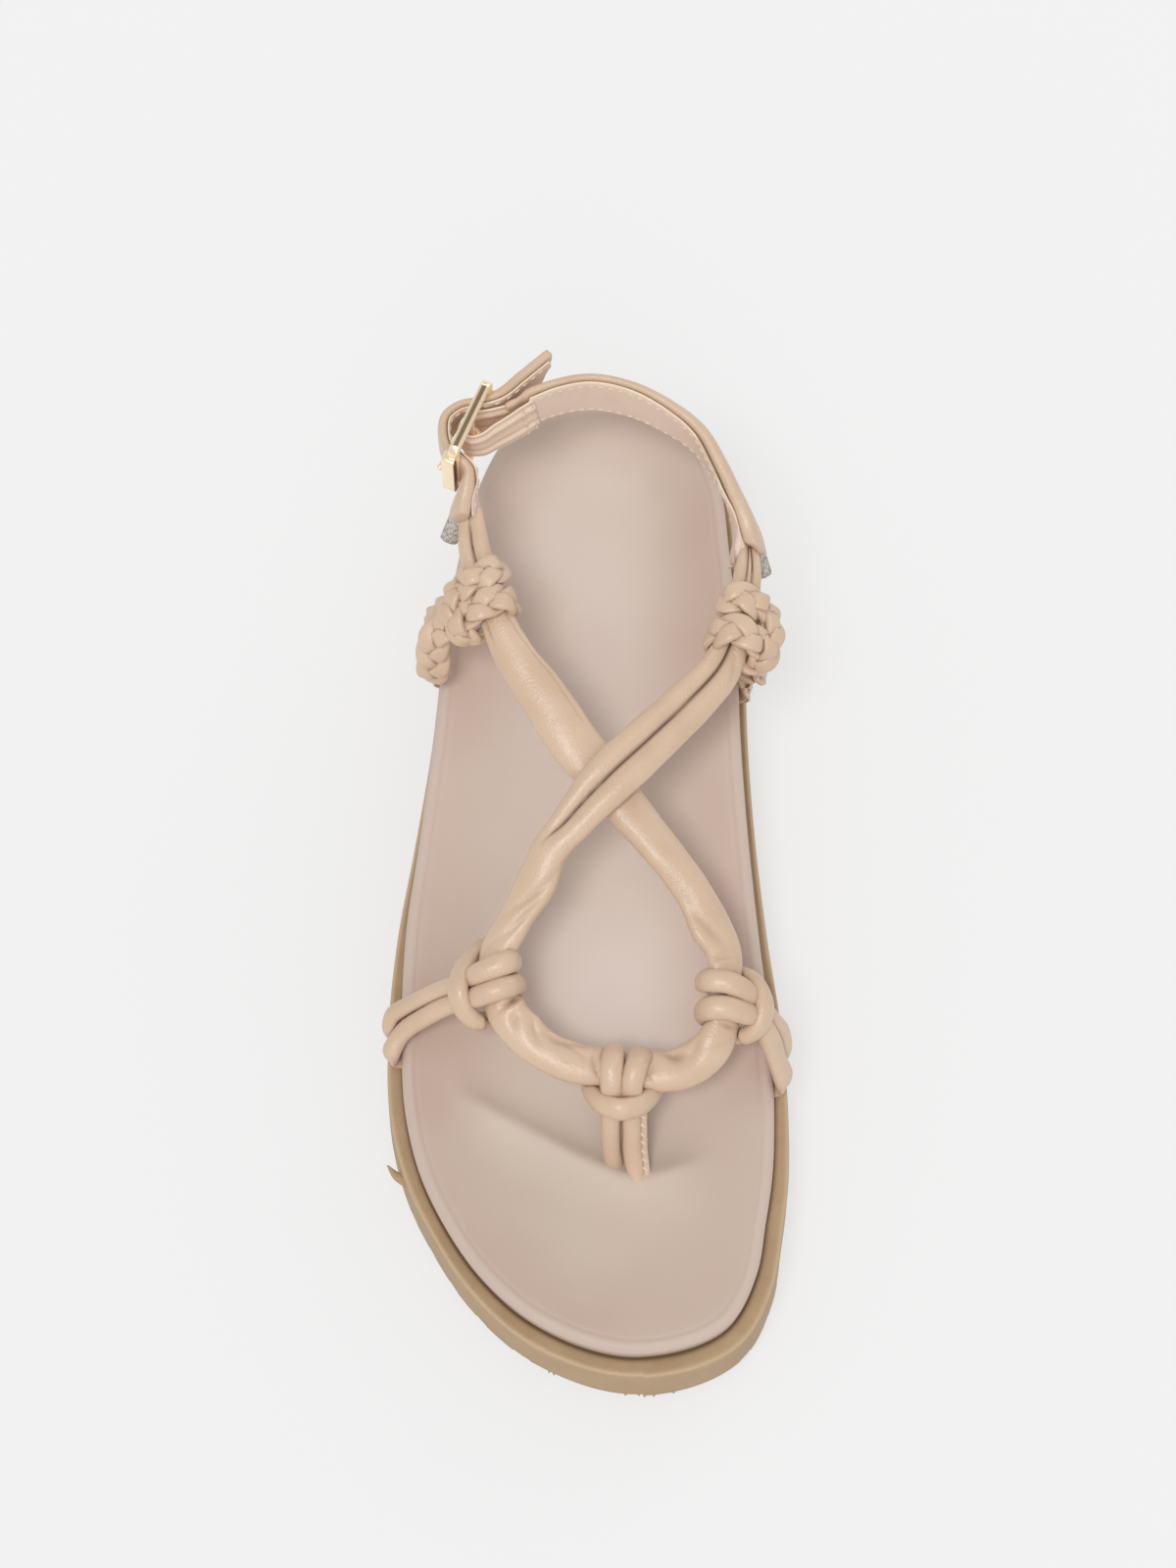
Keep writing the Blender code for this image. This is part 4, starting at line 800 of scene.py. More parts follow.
def colour(red, green, blue):
    """A colour on the usual scale from 0 to 255 as Blender's linear colour."""
    values = [c / 255 for c in (red, green, blue)]
    return (*[c / 12.92 if c <= 0.04045 else ((c + 0.055) / 1.055) ** 2.4 for c in values], 1.0)


class Wire:
    """One output in a material's node tree. Arithmetic on it adds Math nodes."""

    def __init__(self, tree, socket=None):
        self.tree = tree
        self.socket = socket

    def node(self, kind, settings=None, inputs=None, output=0):
        made = self.tree.nodes.new(kind)
        for name, value in (settings or {}).items():
            setattr(made, name, value)
        for name, value in (inputs or {}).items():
            if isinstance(value, Wire):
                self.tree.links.new(value.socket, made.inputs[name])
            else:
                made.inputs[name].default_value = value
        return Wire(self.tree, made.outputs[output])

    def math(self, operation, first, second):
        return self.node("ShaderNodeMath", {"operation": operation}, {0: first, 1: second})

    def __add__(self, other):
        return self.math("ADD", self, other)

    __radd__ = __add__

    def __sub__(self, other):
        return self.math("SUBTRACT", self, other)

    def __rsub__(self, other):
        return self.math("SUBTRACT", other, self)

    def __mul__(self, other):
        return self.math("MULTIPLY", self, other)

    __rmul__ = __mul__

    def __pow__(self, other):
        return self.math("POWER", self, other)

    def clipped(self):
        return self.node("ShaderNodeClamp", None, {"Value": self})

    def between(self, low, high):
        """This value stretched from low and high to 0 and 1."""
        return self.node("ShaderNodeMapRange", None, {"Value": self, "From Min": low, "From Max": high})

    def noise(self, size, detail=2.0, rough=0.5):
        """Soft noise with features of a size in millimetres, at these coordinates."""
        inputs = {"Vector": self, "Scale": 1 / (size * MM), "Detail": detail, "Roughness": rough}
        return self.node("ShaderNodeTexNoise", None, inputs)

    def cells(self, size):
        """Distance to the middle of cells of a size in millimetres, at these coordinates."""
        return self.node("ShaderNodeTexVoronoi", None, {"Vector": self, "Scale": 1 / (size * MM)})

    def mixed(self, first, second):
        """Two colours mixed by this value."""
        return self.node("ShaderNodeMix", {"data_type": "RGBA"}, {0: self, 6: first, 7: second}, 2)

    def stretched(self, scale):
        """These coordinates scaled along each axis."""
        return self.node("ShaderNodeVectorMath", {"operation": "MULTIPLY"}, {0: self, 1: scale})

    def bump(self, depth, strength, under=None):
        """A normal raised by this value, with a depth in millimetres, on top of another."""
        inputs = {"Height": self, "Distance": depth * MM, "Strength": strength}
        if under:
            inputs["Normal"] = under
        return self.node("ShaderNodeBump", None, inputs)


def new_finish(name, **settings):
    """A material with constants on its shader, and the start of its nodes."""
    finish = bpy.data.materials.new(name)
    finish.use_nodes = True
    shader = finish.node_tree.nodes["Principled BSDF"]
    for socket, value in settings.items():
        shader.inputs[socket.replace("_", " ").title().replace("Ior", "IOR")].default_value = value
    start = Wire(finish.node_tree)

    def connect(socket, wire):
        finish.node_tree.links.new(wire.socket, shader.inputs[socket])

    return finish, start, connect


def object_place(start):
    """Coordinates on the piece."""
    return start.node("ShaderNodeTexCoord", None, None, "Object")


def mark(start, name):
    """One of the piece's marks."""
    return start.node("ShaderNodeAttribute", {"attribute_name": name}, None, "Fac")


def leather(name, main, pale, dark, rough, grain, gloss):
    """Soft smooth leather with fine grain and cloudy colour, painted shade in creases and gaps, and a painted
    highlight on marked edges.
    """
    finish, start, connect = new_finish(name, specular_ior_level=0.5, coat_weight=gloss, coat_roughness=0.26)
    place = object_place(start)
    cloud = place.noise(14.0, 3.0).between(0.35, 0.68)
    fine = place.noise(0.9, 3.0)
    # Painted shade: creases, folds and narrow gaps darken towards the shade colour
    crease_shade = (mark(start, "crease_shade") + 1.7 * mark(start, "crevice_shade") ** 1.8).clipped()
    # Painted highlight: the pale mark lightens the upper edges of the linings and the loop
    base = mark(start, "pale").mixed(cloud.mixed(main, pale), colour(238, 216, 192))
    base = crease_shade.mixed(base, dark)
    connect("Base Color", base)
    connect("Roughness", rough + 0.14 * (fine - 0.5) + 0.12 * crease_shade)
    pores = place.cells(0.6).bump(0.12, grain)
    wrinkles = place.noise(1.3, 4.0, 0.7).bump(0.22, grain, pores)
    connect("Normal", place.noise(5.0, 2.0).bump(0.3, grain * 0.5, wrinkles))
    return finish


def footbed_leather():
    finish, start, connect = new_finish("footbed_leather", specular_ior_level=0.35)
    place = object_place(start)
    rim, side = mark(start, "rim"), mark(start, "side")
    cloud = place.noise(38.0, 2.0).between(0.3, 0.7)
    pink = (side * 0.65 + 0.5 * (cloud - 0.5)).clipped()
    # Painted sheen and light: this mark pales the footbed, its pink sides too
    sheen = mark(start, "sheen")
    base = sheen.mixed(colour(197, 179, 163), colour(223, 209, 201))
    base = pink.mixed(base, sheen.mixed(colour(189, 164, 150), colour(208, 184, 170)))
    # Painted highlight: the rounded rim is paler
    base = (rim * 0.6).mixed(base, colour(206, 188, 176))
    connect("Base Color", mark(start, "smear").mixed(base, colour(231, 221, 211)))
    connect("Roughness", 0.52 + 0.10 * (place.noise(1.2, 3.0) - 0.5))
    pores = place.cells(0.6).bump(0.03, 0.35)
    connect("Normal", place.noise(3.0, 3.0).bump(0.08, 0.25, pores))
    return finish


def foam():
    finish, start, connect = new_finish("foam", specular_ior_level=0.3)
    place = object_place(start)
    cloud = place.noise(9.0, 4.0, 0.6).between(0.3, 0.72)
    specks = place.noise(0.8, 2.0).between(0.62, 0.75)
    base = cloud.mixed(colour(172, 144, 111), colour(183, 157, 124))
    # Painted highlight: a paler line along the ledge's rounded outer edge
    base = mark(start, "edge").mixed(base, colour(198, 173, 141))
    base = (specks * 0.35).mixed(base, colour(150, 122, 90))
    # Painted shade where the ledge meets the footbed, with a dark line where the two meet
    connect("Base Color", mark(start, "joint_and_shade").mixed(base, colour(112, 84, 58)))
    connect("Roughness", 0.62 + 0.16 * (cloud - 0.5))
    pores = place.noise(0.55, 3.0).bump(0.06, 0.5)
    connect("Normal", place.noise(4.0, 2.0).bump(0.15, 0.3, pores))
    return finish


def gold():
    # Painted light: the gold glows faintly so that it looks brighter
    finish, start, connect = new_finish("gold", metallic=0.8, emission_strength=0.08)
    place = object_place(start)
    fine = place.stretched((1.0, 1.0, 0.08)).noise(0.25, 2.0)
    base = place.noise(2.0).mixed(colour(252, 236, 206), colour(246, 222, 184))
    # Painted shade: the shade mark darkens the frame's groove and the roller's inner side
    base = mark(start, "shade").mixed(base, colour(96, 66, 40))
    connect("Base Color", base)
    # Painted light: the glow takes the gold's own colour
    connect("Emission Color", base)
    connect("Roughness", 0.18 + 0.12 * fine)
    connect("Normal", fine.bump(0.01, 0.2))
    return finish


def elastic_weave():
    finish, start, connect = new_finish("elastic_weave", roughness=0.85)
    place = object_place(start)
    rib = place.stretched((1.0, 0.35, 1.0)).cells(0.55)
    connect("Base Color", rib.mixed(colour(220, 215, 207), colour(112, 103, 94)))
    connect("Normal", (1 - rib).bump(0.25, 0.9))
    return finish


def thread(name, main):
    finish, start, connect = new_finish(name, roughness=0.75)
    place = object_place(start)
    twist = place.noise(0.4, 2.0)
    connect("Base Color", twist.mixed(main, colour(232, 213, 193)))
    connect("Normal", twist.bump(0.05, 0.5))
    return finish


# Sole and footbed


def ground(along):
    """Height of the sole's underside: flat heel and forefoot, hollow arch, lifted toe and heel."""
    toe = np.clip((TOE_LIFT_FROM - along) / (TOE_LIFT_FROM - SOLE_ENDS[0]), 0, 1)
    heel = np.clip((along - HEEL_LIFT_FROM) / (SOLE_ENDS[1] - HEEL_LIFT_FROM), 0, 1)
    arch = np.clip((along - ARCH_FROM) / (ARCH_TO - ARCH_FROM), 0, 1)
    return TOE_SPRING * toe**TOE_CURVE + HEEL_LIFT * heel**2 + ARCH_HEIGHT * np.sin(math.pi * arch) ** 2


def ringed(name, rings, marks):
    """A body through closed rings of equal length, given as points and as marks on them."""
    rings = np.array(rings)
    named = {key: np.array(values) for key, values in marks.items()}
    levels, count = rings.shape[:2]

    def place(u, v):
        level = np.rint(v * (levels - 1)).astype(int)
        step = np.rint(u * count).astype(int) % count
        return rings[level, step], {key: values[level, step] for key, values in named.items()}

    return wrap(name, count, levels - 1, place)


def make_outsole(finish):
    points, normal = foot_outline()
    spine = middle_line(points)
    ledge = by_side("ledge", points)
    run = chords(points)
    ragged = soft_step(-RAGGED_FROM, -RAGGED_FULL, -points[:, 1]) * RAGGED_DEPTH
    ragged = ragged * np.clip(np.sin(FULL_TURN * run / RAGGED_PITCH + 1.7 * np.sin(run * 0.31)), -0.3, 1)
    toe = np.exp(-(((points[:, 0] - TOE_FLARE_MIDDLE) / TOE_FLARE_WIDTH) ** 2)) * (points[:, 1] < RAGGED_FROM)
    flare = WALL_FLARE + TOE_FLARE * toe
    foot = ledge + flare
    rings, edges, joints_and_shade = [], [], []

    def ring(offset, height):
        flat = points + normal * np.reshape(offset, (-1, 1))
        return np.column_stack([flat, height(flat[:, 1])])

    def towards_spine(start, share, height):
        flat = start[:, :2] * (1 - share) + spine * share
        return np.column_stack([flat, height(flat[:, 1])])

    def top(along):
        return section("sole_top", along)

    def add(made, edge=0.0, joint_and_shade=0.0):
        rings.append(made)
        edges.append(np.full(len(points), edge))
        joints_and_shade.append(np.full(len(points), joint_and_shade))

    tread = ring(foot - WALL_BEVEL, ground)
    for share in (1.0, 0.75, 0.5, 0.25, 0.08, 0.0):
        add(towards_spine(tread, share, ground))
    for share in (0.15, 0.4, 0.7, 1.0):
        teeth = ragged * math.sin(math.pi * min(1.0, share + 0.2))
        out = foot - WALL_BEVEL * (1 - share) + 0.7 * teeth
        add(ring(out, lambda y: ground(y) + WALL_FOOT * share**1.6 - 0.6 * teeth))
    for share in (0.15, 0.4, 0.6, 0.8, 0.93):
        out = ledge + flare * (1 - share)
        add(ring(out, lambda y: (ground(y) + WALL_FOOT) * (1 - share) + (top(y) - LEDGE_ROUND) * share))
    # Painted highlight: the ledge's rounded outer edge is marked paler, most at the middle of the rounding
    for turn in np.radians((0, 22, 45, 68, 90)):
        out = ledge - LEDGE_ROUND * (1 - math.cos(turn))
        edge = 0.25 + 0.5 * math.sin(2 * turn)
        add(ring(out, lambda y: top(y) - LEDGE_ROUND * (1 - math.sin(turn))), edge=edge)
    # Painted shade: the ledge darkens towards the footbed's wall, with a dark line where the two meet
    for share, dip, joint_and_shade in LEDGE_STEPS:
        out = (ledge - LEDGE_ROUND) * (1 - share)
        add(ring(out, lambda y: top(y) - LEDGE_DISH * dip), joint_and_shade=joint_and_shade)
    inner = ring(-TOP_INSET, lambda y: top(y) - LEDGE_DISH)
    for share in (0.0, 0.5, 1.0):
        add(towards_spine(inner, share, lambda y: top(y) - LEDGE_DISH), joint_and_shade=1.0)
    sole = ringed("outsole_foam", rings, {"edge": edges, "joint_and_shade": joints_and_shade})
    cut_lugs(sole)
    install(sole, finish, "foam", "outsole")
    make_flash(ring(foot - NIB_INSET, lambda y: ground(y) + NIB_HEIGHT), points, normal, finish)


def make_flash(low, points, normal, finish):
    """The sliver at the toe's side and the nibs below the toe. Low is a line round the foot of the wall."""
    line = smooth_rows(FLASH_SLIVER, SLIVER_STEPS)
    sliver = tube("flash_sliver", line, np.tile(SLIVER_WIDTH, (len(line), 1)), *SLIVER_MESH)
    install(sliver, finish, "foam")
    nibs = []
    front = [i for i in range(len(points)) if points[i, 1] < RAGGED_FROM]
    for i, across in enumerate(FLASH_NIBS):
        at = min(front, key=lambda index: abs(points[index, 0] - across))
        out = np.array([*normal[at], 0.0])
        side = np.array([-normal[at, 1], normal[at, 0], 0.0])
        down = np.array([0.0, 0.0, 0.5 + 0.3 * math.cos(1.7 * i)])
        nibs.append((low[at], out + side * math.sin(2.4 * i) - down, [0.0, 0.0, 1.0]))
    install(stitches("flash_nibs", nibs, *FLASH_NIB_SIZE), finish, "foam")


def cut_lugs(sole):
    """Cross grooves cut into the underside."""
    bars = []
    for start, end in LUG_FIELDS:
        for along in np.arange(start, end, LUG_PITCH):
            roof = float(ground(np.array([along, along + LUG_GROOVE])).max()) + LUG_DEPTH
            bpy.ops.object.select_all(action="DESELECT")
            centre = Vector((0.0, along + LUG_GROOVE / 2, roof / 2 - 10.0)) * MM
            bpy.ops.mesh.primitive_cube_add(size=1.0, location=centre)
            bar = bpy.context.object
            bar.scale = Vector((2 * LUG_REACH, LUG_GROOVE, roof + 20.0)) * MM
            settle()
            bars.append(bar)
    cutter = join(bars, "lug_cutter")
    apply_modifier(sole, "BOOLEAN", operation="DIFFERENCE", solver="EXACT", object=cutter)
    bpy.data.objects.remove(cutter)


def toe_crest(flat):
    """Height of the ridge under the toes at points of the footbed."""
    line = np.array(CREST_LINE)
    ridge = spline(line[:, 0], line[:, 1], np.clip(flat[:, 0], line[0, 0], line[-1, 0]))
    inside = soft_step(0, CREST_FADE, np.minimum(flat[:, 0] - line[0, 0], line[-1, 0] - flat[:, 0]))
    past = flat[:, 1] - ridge
    broad = CREST_HEIGHT * np.exp(-((past / np.where(past > 0, *CREST_WIDTHS)) ** 2))
    return inside * (broad + CREST_EDGE * np.exp(-((past / np.where(past > 0, *CREST_EDGE_WIDTHS)) ** 2)))


def glue_smear(ring):
    """Mark of the pale glue left at the foot of the footbed's wall."""
    start, end = np.array(GLUE_SMEAR)
    way = end - start
    share = np.clip((ring[:, :2] - start) @ way / (way @ way), 0, 1)[:, None]
    away = np.linalg.norm(ring[:, :2] - start - share * way, axis=1)
    height = ring[:, 2] - section("sole_top", ring[:, 1])
    return GLUE_STRENGTH * np.exp(-((away / GLUE_REACH) ** 2)) * (1 - soft_step(*GLUE_TOP, height))


def beside_big_toe(ring):
    return soft_step(*BIG_TOE_ACROSS, ring[:, 0]) * soft_step(*BIG_TOE_AHEAD, -ring[:, 1])


# Painted sheen and light: one paler patch
def sheen_patch(ring, centre, size, strength):
    return strength * np.exp(-(((ring[:, :2] - centre) / size) ** 2).sum(axis=1))


def make_footbed(finish):
    points, normal = foot_outline()
    spine = middle_line(points)
    rim = by_side("rim", points)

    def ring(inset, height):
        flat = points - normal * np.reshape(inset, (-1, 1))
        return np.column_stack([flat, section("sole_top", flat[:, 1]) + height])

    rings = [np.column_stack([spine, section("sole_top", spine[:, 1]) + SOLE_GAP])]
    rings.append(ring(WALL_TUCK + WALL_TUCK_ROUND, SOLE_GAP))
    rings.append(ring(WALL_TUCK, SOLE_GAP + WALL_TUCK_ROUND))
    for share in (0.35, 0.7, 1.0):
        rings.append(ring(WALL_TUCK * (1 - share), SOLE_GAP + (rim - RIM_ROUND - SOLE_GAP) * share))
    # Painted highlight: the rim's rounding and a band inside it are marked paler
    marks = [np.zeros(len(points))] * len(rings)
    for turn in np.radians((18, 36, 54, 72, 90)):
        rings.append(ring(RIM_ROUND * (1 - math.cos(turn)), rim - RIM_ROUND * (1 - math.sin(turn))))
        marks.append(np.full(len(points), RIM_HIGHLIGHT))
    edge = points - normal * RIM_ROUND
    reach = np.linalg.norm(spine - edge, axis=1)
    inwards = np.linspace(0, 1, BED_RINGS)[1:] ** 1.4
    for share in inwards:
        flat = edge * (1 - share) + spine * share
        sunk = math.sin(math.pi / 2 * min(1.0, share * BOWL_STEEP)) ** BOWL_CURVE
        inset = RIM_ROUND + reach * share
        line = RIM_LINE_DEPTH * np.exp(-(((inset - RIM_LINE) / RIM_LINE_WIDTH) ** 2))
        height = rim * (1 - sunk) + section("seat", flat[:, 1]) * sunk + toe_crest(flat) - line
        rings.append(np.column_stack([flat, section("sole_top", flat[:, 1]) + height]))
        marks.append(RIM_HIGHLIGHT * (1 - soft_step(RIM_LINE - RIM_HIGHLIGHT_FADE, RIM_LINE, inset)))
    sides = [np.full(len(points), 1.0)] * (len(rings) - len(inwards))
    sides += [np.full(len(points), 1 - soft_step(0.0, PINK_REACH, share)) for share in inwards]
    sides = [side * (1 - PINK_LOST * beside_big_toe(ring)) for side, ring in zip(sides, rings)]
    smear = [glue_smear(ring) for ring in rings]
    # Painted sheen and light, summed from the paler patches
    sheen = [sum(sheen_patch(ring, *patch) for patch in SHEEN_PATCHES) for ring in rings]
    footbed = ringed("footbed_cover", rings, {"rim": marks, "side": sides, "smear": smear, "sheen": sheen})
    install(footbed, finish, "footbed_leather", "footbed")


# Main strap


def strap_line():
    """The main strap's rows as a smooth line, and its width directions."""
    line = smooth_rows([row[1:] for row in MAIN_STRAP], STRAP_STEPS)
    lean = np.radians(STRAP_LEAN * (line[:, 0] - STRAP_MID_X))
    normal = np.column_stack([np.sin(lean), np.zeros(len(lean)), np.cos(lean)])
    return line, np.cross(normal, unit(np.gradient(line[:, :3], axis=0)))


def strap_index(place):
    return [row[0] for row in MAIN_STRAP].index(place) * STRAP_STEPS


def angle_away(turn, middle):
    """An angle from another one, the short way round."""
    return (turn - middle + math.pi) % FULL_TURN - math.pi


def strap_relief(run_of):
    """The strap's folds and creases, as an inward push and a mark of painted shade in them."""

    def relief(run, turn, halves):
        # The second number is painted shade, strongest along the troughs
        push, crease_shade = np.zeros(len(run)), np.zeros(len(run))
        girth = halves.mean(axis=1)
        for depth, width, way in FOLDS:
            runs = [run_of(place) for place in way]
            fade = soft_step(runs[0] + FOLD_STARTS[0], runs[0] + FOLD_STARTS[1], run)
            fade = fade * (1 - soft_step(runs[-1] + FOLD_ENDS[0], runs[-1] + FOLD_ENDS[1], run))
            middle = np.radians(np.interp(run, runs, list(way.values())))
            away = np.abs(angle_away(turn, middle)) * girth
            trough = 0.5 * np.exp(-away / width) + 0.5 * np.exp(-((away / (4.0 * width)) ** 2))
            push += depth * fade * trough
            crease_shade += FOLD_SHADE * min(FOLD_SHADE_DEPTH, depth) * fade * np.exp(-((away / (0.8 * width)) ** 2))
        for place, offset, angle, length, width, slant, depth in CREASES:
            along = run - run_of(place) - offset
            away = angle_away(turn, math.radians(angle)) * girth
            cos, sin = math.cos(math.radians(slant)), math.sin(math.radians(slant))
            one, two = along * cos + away * sin, away * cos - along * sin
            trough = np.exp(-((one / length) ** 2) - (two / width) ** 2)
            push += depth * trough
            crease_shade += CREASE_SHADE * depth * np.exp(-((one / length) ** 2) - (two / (0.5 * width)) ** 2)
        for height, pace, bend in ((0.07, 0.23, 1.3 * np.cos(turn)), (0.04, 0.61, 2.0 * np.sin(turn))):
            push += height * np.sin(run * pace + bend)
        return push, np.clip(crease_shade, 0, SHADE_LIMIT)

    return relief


def make_main_strap(finish):
    line, across = strap_line()
    run = chords(line[:, :3])
    relief = strap_relief(lambda place: run[strap_index(place)])
    made = tube("main_strap_leather", line, across, *STRAP_MESH, relief)
    return install(made, finish, "strap_leather", "main_strap")


# Cords and braids


def tuck_rows(side, along, half_width, half_thick):
    """The end of a cord from below the footbed out over its wall, and the way along the wall."""
    width = section(side, np.array([along - 1.0, along, along + 1.0]))
    tangent = unit([width[2] - width[0], 2.0, 0.0])
    normal = (-1.0 if side == "lateral" else 1.0) * np.array([tangent[1], -tangent[0], 0.0])
    point, up = np.array([width[1], along, 0.0]), np.array([0.0, 0.0, 1.0])
    bed = float(section("sole_top", along)) + SOLE_GAP + TAB_BED + TAB_THICK
    rim = float(section("sole_top", along) + section(f"rim_{side}", along))
    rise = half_thick - TAB_THICK
    rows = [(out, bed + height, TAB_THICK + share * rise) for out, height, share in TAB]
    rows.append((half_thick, bed + TAB_CLIMB, TAB_THICK + rise / 2))
    rows.append((half_thick + TAB_LEAN, rim + TAB_OVER, half_thick))
    return [(*(point + normal * out + up * z), half_width, thick) for out, z, thick in rows], tangent


def carried(tangent, width):
    """A width direction carried along a way, always square to it."""
    made = []
    for way in tangent:
        width = unit(width - way * (width @ way))
        made.append(width)
    return np.array(made)


def cord_line(rows, first, last, faces=None):
    """A cord's smooth line and its width directions.

    It lies round the strap at its knot and as given at its ends. Faces turns its first leg.
    """
    line = evened(smooth_rows(rows, CORD_STEPS))
    path = line[:, :3]
    strap = strap_line()[0][:, :3]
    nearest = strap[np.argmin(((path[:, None] - strap[None]) ** 2).sum(axis=2), axis=1)]
    window = np.hanning(2 * FACING_BLUR + 1)
    window = window / window.sum()
    away = unit(path - nearest) + np.array([0.0, 0.0, CORD_FACES_UP])
    padded = [np.pad(column, FACING_BLUR, "edge") for column in away.T]
    away = np.column_stack([np.convolve(column, window, "valid") for column in padded])
    tangent = unit(np.gradient(path, axis=0))
    width = unit(np.cross(away, tangent))
    run = chords(path)

    def turned(width, wanted, ends_at, start, end):
        """The width directions turned to the wanted ones nearer to the end than start."""
        i = np.argmin(np.abs(ends_at - end))
        wanted = wanted * (1.0 if width[i] @ wanted[i] > 0 else -1.0)
        share = soft_step(start, end, ends_at)[:, None]
        return unit(wanted * (1 - share) + width * share)

    from_first = ROUND_STRAP_FROM
    if faces:
        from_first = PLAIT_TURN_FROM
        width = turned(width, unit(np.cross(faces, tangent)), run, *PLAIT_TURN_TO)
    width = turned(width, carried(tangent, first), run, 0.5 * from_first, from_first)
    at_end = carried(tangent[::-1], last)[::-1]
    return line, turned(width, at_end, run[-1] - run, 0.5 * ROUND_STRAP_FROM, ROUND_STRAP_FROM)


def side_cord(name, table):
    """A cord's line with both ends tucked under the footbed's edge."""
    side = name.rsplit("_", 1)[1]
    front, rear = TUCKS[name]
    start, first = tuck_rows(side, front, *table[0][3:])
    end, last = tuck_rows(side, rear, *table[-1][3:])
    return cord_line(start + list(table) + end[::-1], first, last, PLAIT_FACES.get(name))


def make_cord(name, line, across, finish):
    return install(tube(f"{name}_leather", line, across, *CORD_MESH), finish, "strap_leather", name)


def make_braid(name, line, across, finish):
    """Three strands plaited along the cord's way."""
    path = line[:, :3]
    off = np.cross(unit(np.gradient(path, axis=0)), across)
    run = chords(path)
    flatness = line[:, 4] / BRAID_HALF_THICK
    strands = []
    for strand in range(3):
        phase = FULL_TURN * (run / STRAND_LENGTH + strand / 3)
        sway = np.clip(line[:, 3] - STRAND_HALF[0], STRAND_LEAST_SWAY, None) * np.sin(phase)
        rise = STRAND_RISE * flatness * np.sin(2 * phase)
        way = path + across * sway[:, None] + off * rise[:, None]
        flat = np.cross(off, unit(np.gradient(way, axis=0)))
        halves = np.column_stack([np.full(len(run), STRAND_HALF[0]), STRAND_HALF[1] * flatness])
        rows = np.column_stack([way, halves])
        strands.append(tube(f"{name}_{strand}", rows, flat, *STRAND_MESH, square=STRAND_SQUARE))
    return install(join(strands, f"{name}_strands"), finish, "strap_leather", name)


def make_toe_post(finish, stitch_finish):
    across = np.array([1.0, 0.0, 0.0])
    line, width = cord_line(TOE_POST_CORD, across, across)
    post = make_cord("toe_post_cord", line, width, finish)
    foot = smooth_rows(TOE_POST_CORD[POST_SEAM_FROM:], CORD_STEPS)
    seam = foot[:, :3] + across * foot[:, 3:4] * POST_SEAM_OUT
    rows = np.column_stack([seam, np.tile(POST_SEAM_HALVES, (len(seam), 1))])
    flange = tube("toe_post_seam", rows, np.tile(across, (len(seam), 1)), *SEAM_MESH)
    install(flange, finish, "strap_leather")
    run = chords(seam)
    places = []
    for at in np.arange(1.0, run[-1] - 0.6, POST_STITCH_PITCH):
        i = np.searchsorted(run, at)
        along = unit(seam[min(i + 2, len(seam) - 1)] - seam[i - 2 if i > 2 else 0])
        normal = unit(np.cross(across, along))
        normal = normal if normal[2] > 0 else -normal
        places.append((seam[i] + normal * POST_STITCH_LIFT, along + across * POST_STITCH_SLANT, normal))
    install(stitches("toe_post_stitches", places, *POST_STITCH), stitch_finish, "strap_leather")
    return post, flange


# Heel strap and buckle


def band(rows):
    """A flat strap standing on edge: path, directions up and away from the ankle, and half sizes."""
    line = smooth_rows(rows, BAND_STEPS)
    tangent = unit(np.gradient(line[:, :3], axis=0))
    level = unit(np.column_stack([-tangent[:, 1], tangent[:, 0], np.zeros(len(line))]))
    lean = np.radians(line[:, 5])[:, None]
    up = np.array([0.0, 0.0, 1.0]) * np.cos(lean) + level * np.sin(lean)
    out = np.cross(tangent, up)
    middle = len(line) // 2
    if out[middle, :2] @ (line[middle, :2] - np.array(ANKLE)) < 0:
        out = -out
    return line[:, :3], up, out, line[:, 3:5]


def buckle_point(along, out, z):
    """A point of the buckle's frame in the shoe's frame."""
    heading = unit(BUCKLE_HEADING)
    away = np.array([-heading[1], heading[0]])
    flat = np.array(BUCKLE_CENTRE[:2]) + heading * along + away * out
    return np.array([*flat, z])


def buckle_rows(table):
    return [(*buckle_point(*row[:3]), row[3], row[4], -row[5]) for row in table]


def pillow(u, power_up, power_out):
    """Section of a strap with rounded edges, as shares of its half sizes up and out."""
    turn = FULL_TURN * u
    return boxier(np.cos(turn), power_up), boxier(np.sin(turn), power_out)


